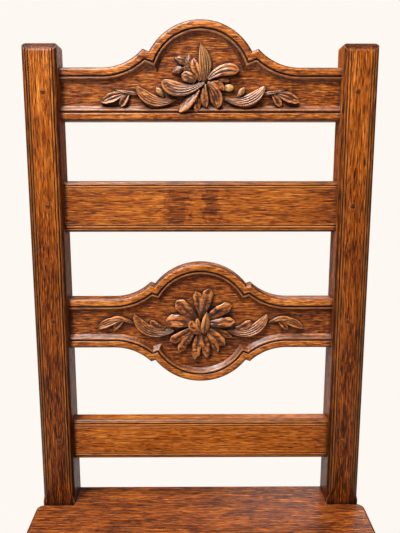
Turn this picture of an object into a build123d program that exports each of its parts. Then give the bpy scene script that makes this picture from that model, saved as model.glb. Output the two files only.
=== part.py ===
from build123d import *
import os
from math import atan2, cos, degrees, hypot, radians, sin, sqrt, tan
from typing import NamedTuple

# Joined oak side chair. Four rails are tenoned and pegged between two raked rear posts: a crest
# rail and a middle rail with cusped, moulded outlines and a sunk field, and two plain rails. The
# plank seat is notched round the posts and lies on four aprons, above turned front legs and an
# H stretcher.
#
# Frame: X across the chair, positive at the right of someone who faces it; Y from front to back;
# Z up. The origin is on the floor under the middle of the whole chair. Millimetres and degrees.
# A place on the back is a rise (up along the posts from seat height) and a depth (square to the
# back, behind the front faces of the posts).

# ---------------------------------------------------------------- driving dimensions: back
back_width = 423.0  # over both posts
post_width = 41.5
post_depth = 40.0  # from the stretchers up to the seat
post_top_depth = 32.5
post_foot_depth = 38.0
post_rise = 591.5
back_rake = 3.0
leg_splay = 2.5  # rear legs, below the apron joints
joint_land = 10.0  # plumb stretch of the rear legs below the aprons
cap_slope = 10.0  # swelled slope across the front of a post's top
cap_swell = 1.0
cap_round = 4.0  # round along the other edges of the top
ovolo_radius = 4.4  # moulding along the arrises of posts and rails: ovolo, quirk, fillet, score
ovolo_sink = 0.8
quirk_width = 1.3
quirk_depth = 2.2
arris_fillet_width = 2.0
score_width = 1.1
score_depth = 1.2
ovolo_stop_rise = 4.0  # where the moulding of the posts ends on their arrises above the seat
ovolo_stop_slope = 2.2  # how much higher it ends for each step across the face

rail_thickness = 19.0
rail_recess = 10.0  # rail fronts behind post fronts
lower_rail_rise = 59.0  # rise of each rail's lower edge
lower_rail_height = 55.5
middle_rail_rise = 214.3
middle_rail_height = 65.8  # at its ends
upper_rail_rise = 366.0
upper_rail_height = 63.3
crest_rail_rise = 501.8
crest_rail_height = 62.9  # at its ends

hollow_radius = 68.0  # hollows that climb from the rail ends to the cusps
crest_cusp_half = 69.8  # cusps, notches and dome of the crest, above its ends
crest_cusp_rise = 21.6
crest_notch_half = 62.1
crest_notch_rise = 18.6
crest_dome_rise = 54.9
middle_cusp_half = 64.9
middle_cusp_rise = 19.2
middle_notch_half = 59.3
middle_notch_rise = 17.2
middle_dome_rise = 46.0

bead_width = 9.8  # border moulding, from the edge inwards
bead_outer_round = 4.4
bead_inner_round = 1.6
groove_width = 1.8
groove_depth = 2.0
fillet_width = 1.5
slope_width = 5.2
field_depth = 4.5

# ---------------------------------------------------------------- driving dimensions: seat
seat_height = 460.0
seat_thickness = 21.0
seat_side_overhang = 8.0  # beyond the outer faces of the posts
seat_front_reach = 372.0  # in front of the posts
seat_rear_reach = 38.0  # behind their front faces, between them
rear_board_reach = 102.0  # rear board, in front of the posts
middle_board_width = 135.0
seat_corner_radius = 9.0
seat_edge_round = 5.0
seat_lower_round = 3.0
seat_rear_round = 2.0
dowel_radius = 4.0
dowel_length = 40.0
dowel_spacing = 150.0
dowels_per_joint = 3

# ---------------------------------------------------------------- driving dimensions: underframe
front_leg_inset = 12.0  # behind the seat's front edge
leg_size = 40.0
apron_height = 60.0
apron_thickness = 20.0
apron_setback = 2.0  # behind the outer faces of the legs
rear_apron_depth = 15.0  # its front face, behind the post fronts
rear_apron_height = 50.0
top_block_height = 84.0
low_block_height = 84.0
block_bevel = 4.0
foot_height = 82.0  # turned foot, below the lower block
foot_base_radius = 13.0
bun_radius = 18.5
bun_height = 46.0
neck_radius = 11.5
core_radius = 15.0  # where the turning runs into a block
ring_radius = 16.5
ring_width = 9.0
collar_height = 11.0  # between a block and the next ring
belly_radius = 18.5
belly_height = 44.0  # widest place of the baluster, above its lower ring
stretcher_height = 40.0
stretcher_thickness = 20.0
rear_stretcher_depth = 10.0  # its front face, behind the fronts of the rear legs
side_stretcher_level = 124.0  # middle of its height
rear_stretcher_level = 172.0
cross_stretcher_setback = 150.0  # its middle, behind the front legs' middle
block_reach = 60.0  # along each apron, from its inner corner
block_height = 38.0
block_clearance = 0.5  # round the leg or post in the corner

# ---------------------------------------------------------------- driving dimensions: joints
tenon_length = 28.0
tenon_thickness = 8.0
tenon_shoulder = 8.0
frame_tenon_length = 22.0
frame_tenon_shoulder = 5.0
cross_tenon_length = 12.0
joint_clearance = 0.15  # each side of a tenon in its mortise
mortise_relief = 0.5  # past the end of a tenon
peg_radius = 3.1
peg_clearance = 0.05
peg_proud = 0.7
peg_chamfer = 0.6
peg_length = 27.0
frame_peg_length = 24.0
peg_inset = 24.0  # from the outer face of a post
seat_clearance = 0.2  # round the posts
crest_peg_offset = 1.5  # pegs above the middle of each rail's ends
upper_peg_offset = 1.5
middle_peg_offset = 6.0
lower_peg_offset = 3.0

screw_radius = 1.9
screw_head_radius = 3.8
screw_head_height = 2.4
screw_length = 26.0
screw_grip = 12.0  # wood under the head
screw_offset = 41.0  # across a corner block, from the corner
seat_screw_offset = 25.0
screw_clearance = 0.05
counterbore_clearance = 0.4
margin = 5.0  # how far a cutting shape runs out of the wood

# ---------------------------------------------------------------- derived places
sin_rake = sin(radians(back_rake))
cos_rake = cos(radians(back_rake))
seat_underside = seat_height - seat_thickness
plumb_bottom = seat_underside - apron_height - joint_land
foot_kick = plumb_bottom * tan(radians(leg_splay))
top_rear_reach = (
    (post_rise - cap_round) * sin_rake + (post_top_depth - cap_round) * cos_rake + cap_round
)
rear_reach = max(top_rear_reach, foot_kick + post_foot_depth, post_depth)
back_line = (seat_front_reach - rear_reach) / 2  # Y of the post fronts at seat height

half_back = back_width / 2
seat_width = back_width + 2 * seat_side_overhang
post_inner = half_back - post_width
rail_tenon_depth = rail_recess + rail_thickness / 2
peg_x = half_back - peg_inset
groove_inset = bead_width + groove_width
fillet_inset = groove_inset + fillet_width
field_inset = fillet_inset + slope_width

seat_front = back_line - seat_front_reach
leg_front = seat_front + front_leg_inset
leg_y = leg_front + leg_size / 2
leg_x = half_back - leg_size / 2
leg_inner = half_back - leg_size
leg_back = leg_front + leg_size
apron_top = seat_underside
apron_middle = apron_top - apron_height / 2
rear_apron_middle = apron_top - rear_apron_height / 2
rear_apron_front = back_line + rear_apron_depth
apron_outer_x = half_back - apron_setback
apron_inner_x = apron_outer_x - apron_thickness
front_apron_front = leg_front + apron_setback
front_apron_back = front_apron_front + apron_thickness
frame_mortise = frame_tenon_length + mortise_relief
low_block_top = foot_height + low_block_height
cross_y = leg_y + cross_stretcher_setback


def back_point(rise: float, depth: float) -> tuple[float, float]:
    """Y and Z of a place on the raked back."""
    return (
        back_line + rise * sin_rake + depth * cos_rake,
        seat_height + rise * cos_rake - depth * sin_rake,
    )


def back_plane(rise: float, depth: float) -> Plane:
    """Plane of the back seen from the front: x across, y up along the posts."""
    return Plane(origin=(0, *back_point(rise, depth)), x_dir=(1, 0, 0), z_dir=(0, -cos_rake, sin_rake))


def side_plane(x: float) -> Plane:
    """Plane of the back seen from its side at x: x is the depth, y the rise."""
    return Plane(origin=(x, *back_point(0, 0)), x_dir=(0, cos_rake, -sin_rake), z_dir=(1, 0, 0))


def across_plane(rise: float) -> Plane:
    """Plane square to the posts at a rise: x across, y is the depth."""
    return Plane(origin=(0, *back_point(rise, 0)), x_dir=(1, 0, 0), z_dir=(0, sin_rake, cos_rake))


def rear_leg_front(z: float) -> float:
    """Y of the rear legs' front faces at a height in their raked stretch."""
    return back_line + (plumb_bottom - z) * tan(radians(leg_splay))


def rear_leg_back(z: float) -> float:
    """Y of the rear legs' back faces at a height in their raked stretch."""
    taper = (post_depth - post_foot_depth) * (1 - z / plumb_bottom)
    return rear_leg_front(z) + post_depth - taper


class BackRail(NamedTuple):
    """Where a back rail sits between the posts."""

    rise: float
    height: float
    peg_offset: float

    @property
    def middle(self) -> float:
        """Rise of the middle of the rail's ends."""
        return self.rise + self.height / 2

    @property
    def peg_rise(self) -> float:
        """Rise of the pegs through its tenons."""
        return self.middle + self.peg_offset

    @property
    def tenon_height(self) -> float:
        """Height of its tenons."""
        return self.height - 2 * tenon_shoulder


crest_place = BackRail(crest_rail_rise, crest_rail_height, crest_peg_offset)
upper_place = BackRail(upper_rail_rise, upper_rail_height, upper_peg_offset)
middle_place = BackRail(middle_rail_rise, middle_rail_height, middle_peg_offset)
lower_place = BackRail(lower_rail_rise, lower_rail_height, lower_peg_offset)
back_rails = [crest_place, upper_place, middle_place, lower_place]


class CuspedEdge(NamedTuple):
    """Rising edge of a carved rail, from the level of its ends up to the dome."""

    level: float  # of the straight ends
    cusp: tuple[float, float]
    notch: tuple[float, float]
    top: float


crest_edge = CuspedEdge(
    crest_rail_height,
    (crest_cusp_half, crest_rail_height + crest_cusp_rise),
    (crest_notch_half, crest_rail_height + crest_notch_rise),
    crest_rail_height + crest_dome_rise,
)
middle_level = middle_rail_height / 2
middle_edge = CuspedEdge(
    middle_level,
    (middle_cusp_half, middle_level + middle_cusp_rise),
    (middle_notch_half, middle_level + middle_notch_rise),
    middle_level + middle_dome_rise,
)


def line_meets_circle(start, direction, centre, radius, far: bool) -> tuple[float, float]:
    """First or far place where a line from start meets a circle."""
    offset = (start[0] - centre[0], start[1] - centre[1])
    along = offset[0] * direction[0] + offset[1] * direction[1]
    reach = sqrt(along**2 - offset[0] ** 2 - offset[1] ** 2 + radius**2)
    distance = -along + (reach if far else -reach)
    return (start[0] + distance * direction[0], start[1] + distance * direction[1])


def cusped_outline(edge: CuspedEdge, inset: float, reach: float, base: float) -> Sketch:
    """Outline of a carved rail drawn in by inset, from base up to its cusped edge."""
    sag = edge.top - edge.notch[1]
    dome_radius = (edge.notch[0] ** 2 + sag**2) / (2 * sag)
    dome = (0, edge.top - dome_radius)
    hollow_y = edge.level + hollow_radius
    hollow_x = edge.cusp[0] + sqrt(hollow_radius**2 - (hollow_y - edge.cusp[1]) ** 2)
    step = (edge.notch[0] - edge.cusp[0], edge.notch[1] - edge.cusp[1])
    step_length = hypot(*step)
    toward = (step[0] / step_length, step[1] / step_length)
    start = (edge.cusp[0] - toward[1] * inset, edge.cusp[1] + toward[0] * inset)
    cusp = line_meets_circle(start, toward, (hollow_x, hollow_y), hollow_radius + inset, True)
    notch = line_meets_circle(start, toward, dome, dome_radius - inset, False)
    notch_angle = degrees(atan2(notch[1] - dome[1], notch[0]))
    cusp_angle = degrees(atan2(cusp[1] - hollow_y, cusp[0] - hollow_x)) % 360
    with BuildSketch() as outline:
        with BuildLine():
            CenterArc(dome, dome_radius - inset, notch_angle, 90 - notch_angle)
            Line(notch, cusp)
            CenterArc((hollow_x, hollow_y), hollow_radius + inset, cusp_angle, 270 - cusp_angle)
            Polyline(
                (hollow_x, edge.level - inset),
                (reach, edge.level - inset),
                (reach, base),
                (0, base),
                (0, edge.top - inset),
            )
        make_face()
        mirror(about=Plane.YZ)
    return outline.sketch


def crest_outline(inset: float, reach: float) -> Sketch:
    """Outline of the crest rail drawn in by inset, above its straight lower edge."""
    return cusped_outline(crest_edge, inset, reach, inset)


def middle_outline(inset: float, reach: float) -> Sketch:
    """Outline of the middle rail drawn in by inset, the same above and below its middle."""
    with BuildSketch() as outline:
        add(cusped_outline(middle_edge, inset, reach, 0))
        mirror(about=Plane.XZ)
    return outline.sketch


def quirked_ovolo(corner, along, into) -> Sketch:
    """Section taken off an arris: along runs on the front face, into runs behind it."""

    def at(distance: float, depth: float) -> tuple[float, float]:
        return (
            corner[0] + distance * along[0] + depth * into[0],
            corner[1] + distance * along[1] + depth * into[1],
        )

    shoulder = ovolo_radius * (1 - cos(radians(45)))
    side_depth = ovolo_sink + ovolo_radius
    quirk_end = ovolo_radius + quirk_width
    score_start = quirk_end + arris_fillet_width
    score_end = score_start + score_width
    with BuildSketch() as section:
        with BuildLine():
            ThreePointArc(
                at(0, side_depth),
                at(shoulder, ovolo_sink + shoulder),
                at(ovolo_radius, ovolo_sink),
            )
            Polyline(
                at(ovolo_radius, ovolo_sink),
                at(ovolo_radius, quirk_depth),
                at(quirk_end, quirk_depth),
                at(quirk_end, -margin),
                at(-margin, -margin),
                at(-margin, side_depth),
                at(0, side_depth),
            )
        make_face()
        with BuildLine():
            Polyline(
                at(score_start, -margin),
                at(score_start, score_depth),
                at(score_end, score_depth),
                at(score_end, -margin),
                close=True,
            )
        make_face()
    return section.sketch


def facing_plane(y: float) -> Plane:
    """Upright plane at y that faces the front: x across, y up."""
    return Plane(origin=(0, y, 0), x_dir=(1, 0, 0), z_dir=(0, -1, 0))


def sideways_plane(x: float) -> Plane:
    """Upright plane at x that faces +X: x is Y, y is Z."""
    return Plane(origin=(x, 0, 0), x_dir=(0, 1, 0), z_dir=(1, 0, 0))


class Member(NamedTuple):
    """Straight bar of the underframe: its middle in section, its height and its thickness."""

    across: float
    level: float
    height: float
    thickness: float

    @property
    def bottom(self) -> float:
        """Z of its underside."""
        return self.level - self.height / 2

    @property
    def top(self) -> float:
        """Z of its top."""
        return self.level + self.height / 2

    def section(self) -> Sketch:
        """Its full section."""
        with BuildSketch() as section:
            with Locations((self.across, self.level)):
                Rectangle(self.thickness, self.height)
        return section.sketch

    def tenon(self, clearance: float) -> Sketch:
        """Section of its tenon, or of the mortise at a clearance."""
        with BuildSketch() as section:
            with Locations((self.across, self.level)):
                Rectangle(
                    tenon_thickness + 2 * clearance,
                    self.height + 2 * (clearance - frame_tenon_shoulder),
                )
        return section.sketch


half_apron = apron_thickness / 2
half_stretcher = stretcher_thickness / 2
stretcher_outer_x = half_back - apron_setback
stretcher_inner_x = stretcher_outer_x - stretcher_thickness
rear_stretcher_front = rear_leg_front(rear_stretcher_level) + rear_stretcher_depth

front_apron_bar = Member(front_apron_front + half_apron, apron_middle, apron_height, apron_thickness)
side_apron_bar = Member(apron_outer_x - half_apron, apron_middle, apron_height, apron_thickness)
rear_apron_bar = Member(
    rear_apron_front + half_apron, rear_apron_middle, rear_apron_height, apron_thickness
)
side_stretcher_bar = Member(
    stretcher_outer_x - half_stretcher, side_stretcher_level, stretcher_height, stretcher_thickness
)
cross_stretcher_bar = Member(cross_y, side_stretcher_level, stretcher_height, stretcher_thickness)
rear_stretcher_bar = Member(
    rear_stretcher_front + half_stretcher, rear_stretcher_level, stretcher_height, stretcher_thickness
)


class Pegs(NamedTuple):
    """A set of like pegs, driven square into a plane."""

    plane: Plane
    places: list[tuple[float, float]]
    length: float

    def circles(self, radius: float, lift: float) -> Sketch:
        """Circles of a radius at the pegs' places, lifted off the plane."""
        with BuildSketch(self.plane.offset(lift)) as circles:
            with Locations(*self.places):
                Circle(radius)
        return circles.sketch

    def holes(self) -> Part:
        """Bores that take the pegs."""
        with BuildPart() as holes:
            bores = self.circles(peg_radius + peg_clearance, margin)
            extrude(bores, amount=-(margin + self.length + mortise_relief))
        return holes.part

    def solids(self) -> Part:
        """The pegs, a little proud of the plane and eased at the head."""
        with BuildPart() as driven:
            extrude(self.circles(peg_radius, peg_proud), amount=-(self.length + peg_proud))
            outward = Axis((0, 0, 0), self.plane.z_dir)
            chamfer(driven.faces().group_by(outward)[-1].edges(), peg_chamfer)
        return driven.part


def back_pegs(place: BackRail) -> Pegs:
    """Pegs of a back rail, one through each tenon."""
    sides = [(-peg_x, place.peg_rise), (peg_x, place.peg_rise)]
    return Pegs(back_plane(0, 0), sides, peg_length)


crest_pegs = back_pegs(crest_place)
upper_pegs = back_pegs(upper_place)
middle_pegs = back_pegs(middle_place)
lower_pegs = back_pegs(lower_place)

frame_peg_x = leg_inner + frame_tenon_length / 2
front_apron_places = [(-frame_peg_x, apron_middle), (frame_peg_x, apron_middle)]
front_apron_set = Pegs(facing_plane(leg_front), front_apron_places, frame_peg_length)

rear_peg_plane = Plane(origin=(0, back_line + post_depth, 0), x_dir=(-1, 0, 0), z_dir=(0, 1, 0))
rear_peg_x = post_inner + frame_tenon_length / 2
rear_apron_places = [(-rear_peg_x, rear_apron_middle), (rear_peg_x, rear_apron_middle)]
rear_apron_set = Pegs(rear_peg_plane, rear_apron_places, frame_peg_length)

leg_peg_y = leg_back - frame_tenon_length / 2
side_apron_places = [(leg_peg_y, apron_middle), (back_line + frame_tenon_length / 2, apron_middle)]
side_apron_set = Pegs(sideways_plane(half_back), side_apron_places, frame_peg_length)

side_stretcher_rear = rear_leg_front(side_stretcher_level)
side_stretcher_places = [
    (leg_peg_y, side_stretcher_level),
    (side_stretcher_rear + frame_tenon_length / 2, side_stretcher_level),
]
side_stretcher_set = Pegs(sideways_plane(half_back), side_stretcher_places, frame_peg_length)

rear_stretcher_plane = rear_peg_plane.offset(rear_leg_back(rear_stretcher_level) - back_line - post_depth)
rear_stretcher_places = [(-rear_peg_x, rear_stretcher_level), (rear_peg_x, rear_stretcher_level)]
rear_stretcher_set = Pegs(rear_stretcher_plane, rear_stretcher_places, frame_peg_length)

back_peg_sets = (crest_pegs, upper_pegs, middle_pegs, lower_pegs)
rear_frame_peg_sets = (side_apron_set, rear_apron_set, side_stretcher_set, rear_stretcher_set)

# ---------------------------------------------------------------- corner blocks and screws


class Corner(NamedTuple):
    """Inner corner of the aprons: its place, the way inwards, and the leg or post in it."""

    x: float
    y: float
    into_x: float
    into_y: float
    notch_x: float
    notch_y: float

    def at(self, across: float, along: float) -> tuple[float, float]:
        """Place in plan at distances from the two aprons."""
        return (self.x + self.into_x * across, self.y + self.into_y * along)

    def screw_planes(self) -> list[Plane]:
        """Head planes of the screws into the side apron and into the front or rear apron."""
        level = seat_underside - block_height / 2
        return [
            Plane(origin=(*self.at(screw_grip, screw_offset), level), z_dir=(self.into_x, 0, 0)),
            Plane(origin=(*self.at(screw_offset, screw_grip), level), z_dir=(0, self.into_y, 0)),
        ]

    def seat_screw_plane(self) -> Plane:
        """Head plane of the screw up into the seat."""
        place = (*self.at(seat_screw_offset, seat_screw_offset), seat_underside - screw_grip)
        return Plane(origin=place, z_dir=(0, 0, -1))


leg_notch = (
    apron_inner_x - leg_inner + block_clearance,
    leg_back - front_apron_back + block_clearance,
)
post_notch = (
    apron_inner_x - post_inner + block_clearance,
    rear_apron_front - back_line + block_clearance,
)
corners = {
    "front_right": Corner(apron_inner_x, front_apron_back, -1, 1, *leg_notch),
    "front_left": Corner(-apron_inner_x, front_apron_back, 1, 1, *leg_notch),
    "rear_right": Corner(apron_inner_x, rear_apron_front, -1, -1, *post_notch),
    "rear_left": Corner(-apron_inner_x, rear_apron_front, 1, -1, *post_notch),
}
block_screw_planes = [plane for corner in corners.values() for plane in corner.screw_planes()]
seat_screw_planes = [corner.seat_screw_plane() for corner in corners.values()]


def screws(planes: list[Plane], clearance: float, bore: float) -> Part:
    """Countersunk screws with their heads in the planes, or their holes with a bore above."""
    above_head = (Align.CENTER, Align.CENTER, Align.MIN)
    below_head = (Align.CENTER, Align.CENTER, Align.MAX)
    head = screw_head_radius + clearance
    with BuildPart() as shapes:
        with Locations(*planes):
            Cylinder(screw_radius + clearance, screw_length + clearance, align=below_head)
            Cone(screw_radius + clearance, head, screw_head_height, align=below_head)
            if bore:
                Cylinder(head + counterbore_clearance, bore, align=above_head)
    return shapes.part


block_screw_holes = screws(block_screw_planes, screw_clearance, block_reach - screw_offset)
seat_screw_holes = screws(seat_screw_planes, screw_clearance, block_height)

# ---------------------------------------------------------------- rear posts

slope_foot = back_point(post_rise - cap_slope, 0)
slope_head = back_point(post_rise, cap_slope)
cap_back = back_point(post_rise, post_top_depth)
post_points = [
    slope_head,
    cap_back,
    (back_line + post_depth, seat_height),
    (back_line + post_depth, plumb_bottom),
    (back_line + foot_kick + post_foot_depth, 0),
    (back_line + foot_kick, 0),
    (back_line, plumb_bottom),
    (back_line, seat_height),
    slope_foot,
]


def arris_cutter(arris_x: float, inward: int) -> Part:
    """Cutter for the moulding along a post's arris, with a slanted stop above the seat."""
    stop = Plane(
        origin=(arris_x, *back_point(ovolo_stop_rise, 0)),
        z_dir=(-inward * ovolo_stop_slope, sin_rake - cos_rake, cos_rake + sin_rake),
    )
    with BuildPart() as cutter:
        with BuildSketch(across_plane(ovolo_stop_rise)):
            add(quirked_ovolo((arris_x, 0), (inward, 0), (0, 1)))
        extrude(amount=post_rise)
        split(bisect_by=stop, keep=Keep.TOP)
    return cutter.part


with BuildPart() as rear_post_right:
    with BuildSketch(sideways_plane(post_inner)) as post_side:
        with BuildLine():
            Polyline(*post_points)
            SagittaArc(slope_foot, slope_head, cap_swell)
        make_face()
        fillet(post_side.vertices().sort_by_distance(cap_back)[0], cap_round)
    extrude(amount=post_width)
    with BuildSketch(back_plane(post_rise, 0)):
        with Locations((post_inner, 0), (half_back, 0)):
            Rectangle(2 * cap_round, 2 * cap_round)
        with Locations((post_inner + cap_round, -cap_round), (half_back - cap_round, -cap_round)):
            Circle(cap_round, mode=Mode.SUBTRACT)
    extrude(amount=-post_depth, mode=Mode.SUBTRACT)
    add(arris_cutter(post_inner, 1), mode=Mode.SUBTRACT)
    add(arris_cutter(half_back, -1), mode=Mode.SUBTRACT)
    with BuildSketch(side_plane(post_inner)):
        for place in back_rails:
            with Locations((rail_tenon_depth, place.middle)):
                Rectangle(
                    tenon_thickness + 2 * joint_clearance,
                    place.tenon_height + 2 * joint_clearance,
                )
    extrude(amount=tenon_length + mortise_relief, mode=Mode.SUBTRACT)
    with BuildSketch(sideways_plane(post_inner)):
        for bar in (rear_apron_bar, rear_stretcher_bar):
            add(bar.tenon(joint_clearance))
    extrude(amount=frame_mortise, mode=Mode.SUBTRACT)
    with BuildSketch(facing_plane(back_line)):
        add(side_apron_bar.tenon(joint_clearance))
    extrude(amount=-frame_mortise, mode=Mode.SUBTRACT)
    with BuildSketch(facing_plane(side_stretcher_rear - margin)):
        add(side_stretcher_bar.tenon(joint_clearance))
    extrude(amount=-(frame_mortise + margin), mode=Mode.SUBTRACT)
    for pegs in (*back_peg_sets, *rear_frame_peg_sets):
        add(pegs.holes(), mode=Mode.SUBTRACT)

with BuildPart() as rear_post_left:
    mirror(rear_post_right.part, about=Plane.YZ)

# ---------------------------------------------------------------- back rails


def back_rail_tenons(place: BackRail) -> Part:
    """Bar that runs through a back rail and stands out as a tenon at each end."""
    tenon_end = post_inner + tenon_length
    with BuildPart() as bar:
        with BuildSketch(side_plane(-tenon_end)):
            with Locations((rail_tenon_depth, place.middle)):
                Rectangle(tenon_thickness, place.tenon_height)
        extrude(amount=2 * tenon_end)
    return bar.part


def plain_rail(place: BackRail, pegs: Pegs) -> Part:
    """Plain back rail with a quirked ovolo along both front arrises."""
    with BuildPart() as rail:
        with BuildSketch(side_plane(-post_inner)):
            with Locations((rail_recess + rail_thickness / 2, place.middle)):
                Rectangle(rail_thickness, place.height)
            lower_arris = (rail_recess, place.rise)
            upper_arris = (rail_recess, place.rise + place.height)
            add(quirked_ovolo(lower_arris, (0, 1), (1, 0)), mode=Mode.SUBTRACT)
            add(quirked_ovolo(upper_arris, (0, -1), (1, 0)), mode=Mode.SUBTRACT)
        extrude(amount=2 * post_inner)
        add(back_rail_tenons(place))
        add(pegs.holes(), mode=Mode.SUBTRACT)
    return rail.part


def carved_rail(place: BackRail, pegs: Pegs, outline, base_rise: float) -> Part:
    """Carved rail: outline(inset, reach) is its front drawn in by inset, measured from base_rise."""
    front = back_plane(base_rise, rail_recess)
    outward = Axis((0, 0, 0), front.z_dir)
    upward = Axis((0, 0, 0), front.y_dir)

    def bead_rims(rail: BuildPart) -> ShapeList:
        """Front edges along the upper and the lower bead."""
        fronts = rail.faces().filter_by(outward).group_by(outward)[-1].sort_by(upward)
        return (fronts[0].edges() + fronts[-1].edges()).filter_by(upward, reverse=True)

    with BuildPart() as rail:
        with BuildSketch(front):
            add(outline(0, post_inner))
        extrude(amount=-rail_thickness)
        with BuildSketch(front):
            add(outline(bead_width, post_inner + margin))
            add(outline(groove_inset, post_inner + margin), mode=Mode.SUBTRACT)
        extrude(amount=-groove_depth, mode=Mode.SUBTRACT)
        fillet(bead_rims(rail) & rail.edges(Select.LAST), bead_inner_round)
        fillet(bead_rims(rail) - rail.edges(Select.LAST), bead_outer_round)
        with BuildSketch(front):
            add(outline(fillet_inset, post_inner + margin))
        with BuildSketch(front.offset(-field_depth)):
            add(outline(field_inset, post_inner + margin))
        loft(ruled=True, mode=Mode.SUBTRACT)
        add(back_rail_tenons(place))
        add(pegs.holes(), mode=Mode.SUBTRACT)
    return rail.part


with BuildPart() as crest_rail:
    add(carved_rail(crest_place, crest_pegs, crest_outline, crest_place.rise))

with BuildPart() as carved_middle_rail:
    add(carved_rail(middle_place, middle_pegs, middle_outline, middle_place.middle))

with BuildPart() as upper_plain_rail:
    add(plain_rail(upper_place, upper_pegs))

with BuildPart() as lower_plain_rail:
    add(plain_rail(lower_place, lower_pegs))

# ---------------------------------------------------------------- seat
tongue_width = 2 * (post_inner - seat_clearance)
wing_back = back_line - seat_clearance
rear_joint = back_line - rear_board_reach
front_joint = rear_joint - middle_board_width
seat_middle = seat_underside + seat_thickness / 2


def seat_rim(face: Face) -> ShapeList:
    """Edges of a face of the seat along its front, sides and rounded corners."""
    return face.edges().filter_by(lambda edge: edge.center().Y < wing_back - seat_clearance)


def seat_dowels(clearance: float, relief: float) -> Part:
    """Dowels across the seat's two edge joints, or their holes."""
    with BuildPart() as dowels:
        for joint_y in (front_joint, rear_joint):
            with BuildSketch(facing_plane(joint_y)):
                with Locations((0, seat_middle)):
                    with GridLocations(dowel_spacing, 1, dowels_per_joint, 1):
                        Circle(dowel_radius + clearance)
        extrude(amount=dowel_length / 2 + relief, both=True)
    return dowels.part


dowel_holes = seat_dowels(peg_clearance, mortise_relief)

with BuildPart() as seat_blank:
    with BuildSketch(Plane.XY.offset(seat_underside)) as seat_plan:
        with Locations((0, seat_front)):
            Rectangle(seat_width, wing_back - seat_front, align=(Align.CENTER, Align.MIN))
        fillet(seat_plan.vertices(), seat_corner_radius)
        with Locations((0, wing_back)):
            Rectangle(
                tongue_width,
                back_line + seat_rear_reach - wing_back,
                align=(Align.CENTER, Align.MIN),
            )
    extrude(amount=seat_thickness)
    fillet(seat_rim(seat_blank.faces().sort_by(Axis.Z)[-1]), seat_edge_round)
    fillet(seat_rim(seat_blank.faces().sort_by(Axis.Z)[0]), seat_lower_round)
    rear_edges = seat_blank.faces().sort_by(Axis.Y)[-1].edges().filter_by(Axis.X)
    fillet(rear_edges, seat_rear_round)

seat_strips = {
    "seat_board_front": (seat_front - margin, front_joint),
    "seat_board_middle": (front_joint, rear_joint),
    "seat_board_rear": (rear_joint, back_line + post_depth),
}
seat_boards = {}
for name, (strip_front, strip_back) in seat_strips.items():
    with BuildPart() as seat_board:
        add(seat_blank.part)
        with BuildSketch(Plane.XY.offset(seat_underside)):
            with Locations((0, strip_front)):
                Rectangle(
                    seat_width + 2 * margin,
                    strip_back - strip_front,
                    align=(Align.CENTER, Align.MIN),
                )
        extrude(amount=seat_thickness, mode=Mode.INTERSECT)
        add(dowel_holes, mode=Mode.SUBTRACT)
        add(seat_screw_holes, mode=Mode.SUBTRACT)
    seat_boards[name] = seat_board

with BuildPart() as seat_joint_dowels:
    add(seat_dowels(0, 0))

# ---------------------------------------------------------------- front legs


def leg_block(bottom: float, height: float, bevel_top: bool) -> Part:
    """Square block of a front leg, bevelled where the turning starts."""
    with BuildPart() as block:
        with BuildSketch(Plane.XY.offset(bottom)):
            with Locations((leg_x, leg_y)):
                Rectangle(leg_size, leg_size)
        extrude(amount=height)
        ends = block.faces().sort_by(Axis.Z)
        bevelled = [ends[0], ends[-1]] if bevel_top else [ends[0]]
        chamfer(ShapeList(bevelled).edges(), block_bevel)
    return block.part


def ring(bottom: float) -> None:
    """Rounded ring of the turning, up from bottom."""
    ThreePointArc(
        (neck_radius, bottom),
        (ring_radius, bottom + ring_width / 2),
        (neck_radius, bottom + ring_width),
    )


top_block_bottom = seat_underside - top_block_height
lower_ring = low_block_top + collar_height
upper_ring = top_block_bottom - collar_height - ring_width

with BuildPart() as front_leg_right:
    with BuildSketch(facing_plane(leg_y).shift_origin((leg_x, leg_y, 0))):
        with BuildLine():
            Polyline(
                (foot_base_radius, 0),
                (0, 0),
                (0, seat_underside),
                (core_radius, seat_underside),
            )
            Line((core_radius, seat_underside), (core_radius, top_block_bottom))
            Line((core_radius, top_block_bottom), (neck_radius, upper_ring + ring_width))
            ring(upper_ring)
            Spline(
                (neck_radius, upper_ring),
                (belly_radius, lower_ring + ring_width + belly_height),
                (neck_radius, lower_ring + ring_width),
            )
            ring(lower_ring)
            Line((neck_radius, lower_ring), (core_radius, low_block_top))
            Line((core_radius, low_block_top), (core_radius, foot_height))
            Line((core_radius, foot_height), (neck_radius, bun_height + ring_width))
            ring(bun_height)
            ThreePointArc(
                (foot_base_radius, 0),
                (bun_radius, bun_height / 2),
                (neck_radius, bun_height),
            )
        make_face()
    revolve(axis=Axis((leg_x, leg_y, 0), (0, 0, 1)))
    add(leg_block(foot_height, low_block_height, True))
    add(leg_block(top_block_bottom, top_block_height, False))
    with BuildSketch(sideways_plane(leg_inner)):
        add(front_apron_bar.tenon(joint_clearance))
    extrude(amount=frame_mortise, mode=Mode.SUBTRACT)
    with BuildSketch(facing_plane(leg_back)):
        add(side_apron_bar.tenon(joint_clearance))
        add(side_stretcher_bar.tenon(joint_clearance))
    extrude(amount=frame_mortise, mode=Mode.SUBTRACT)
    for pegs in (front_apron_set, side_apron_set, side_stretcher_set):
        add(pegs.holes(), mode=Mode.SUBTRACT)

with BuildPart() as front_leg_left:
    mirror(front_leg_right.part, about=Plane.YZ)

# ---------------------------------------------------------------- aprons


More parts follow.
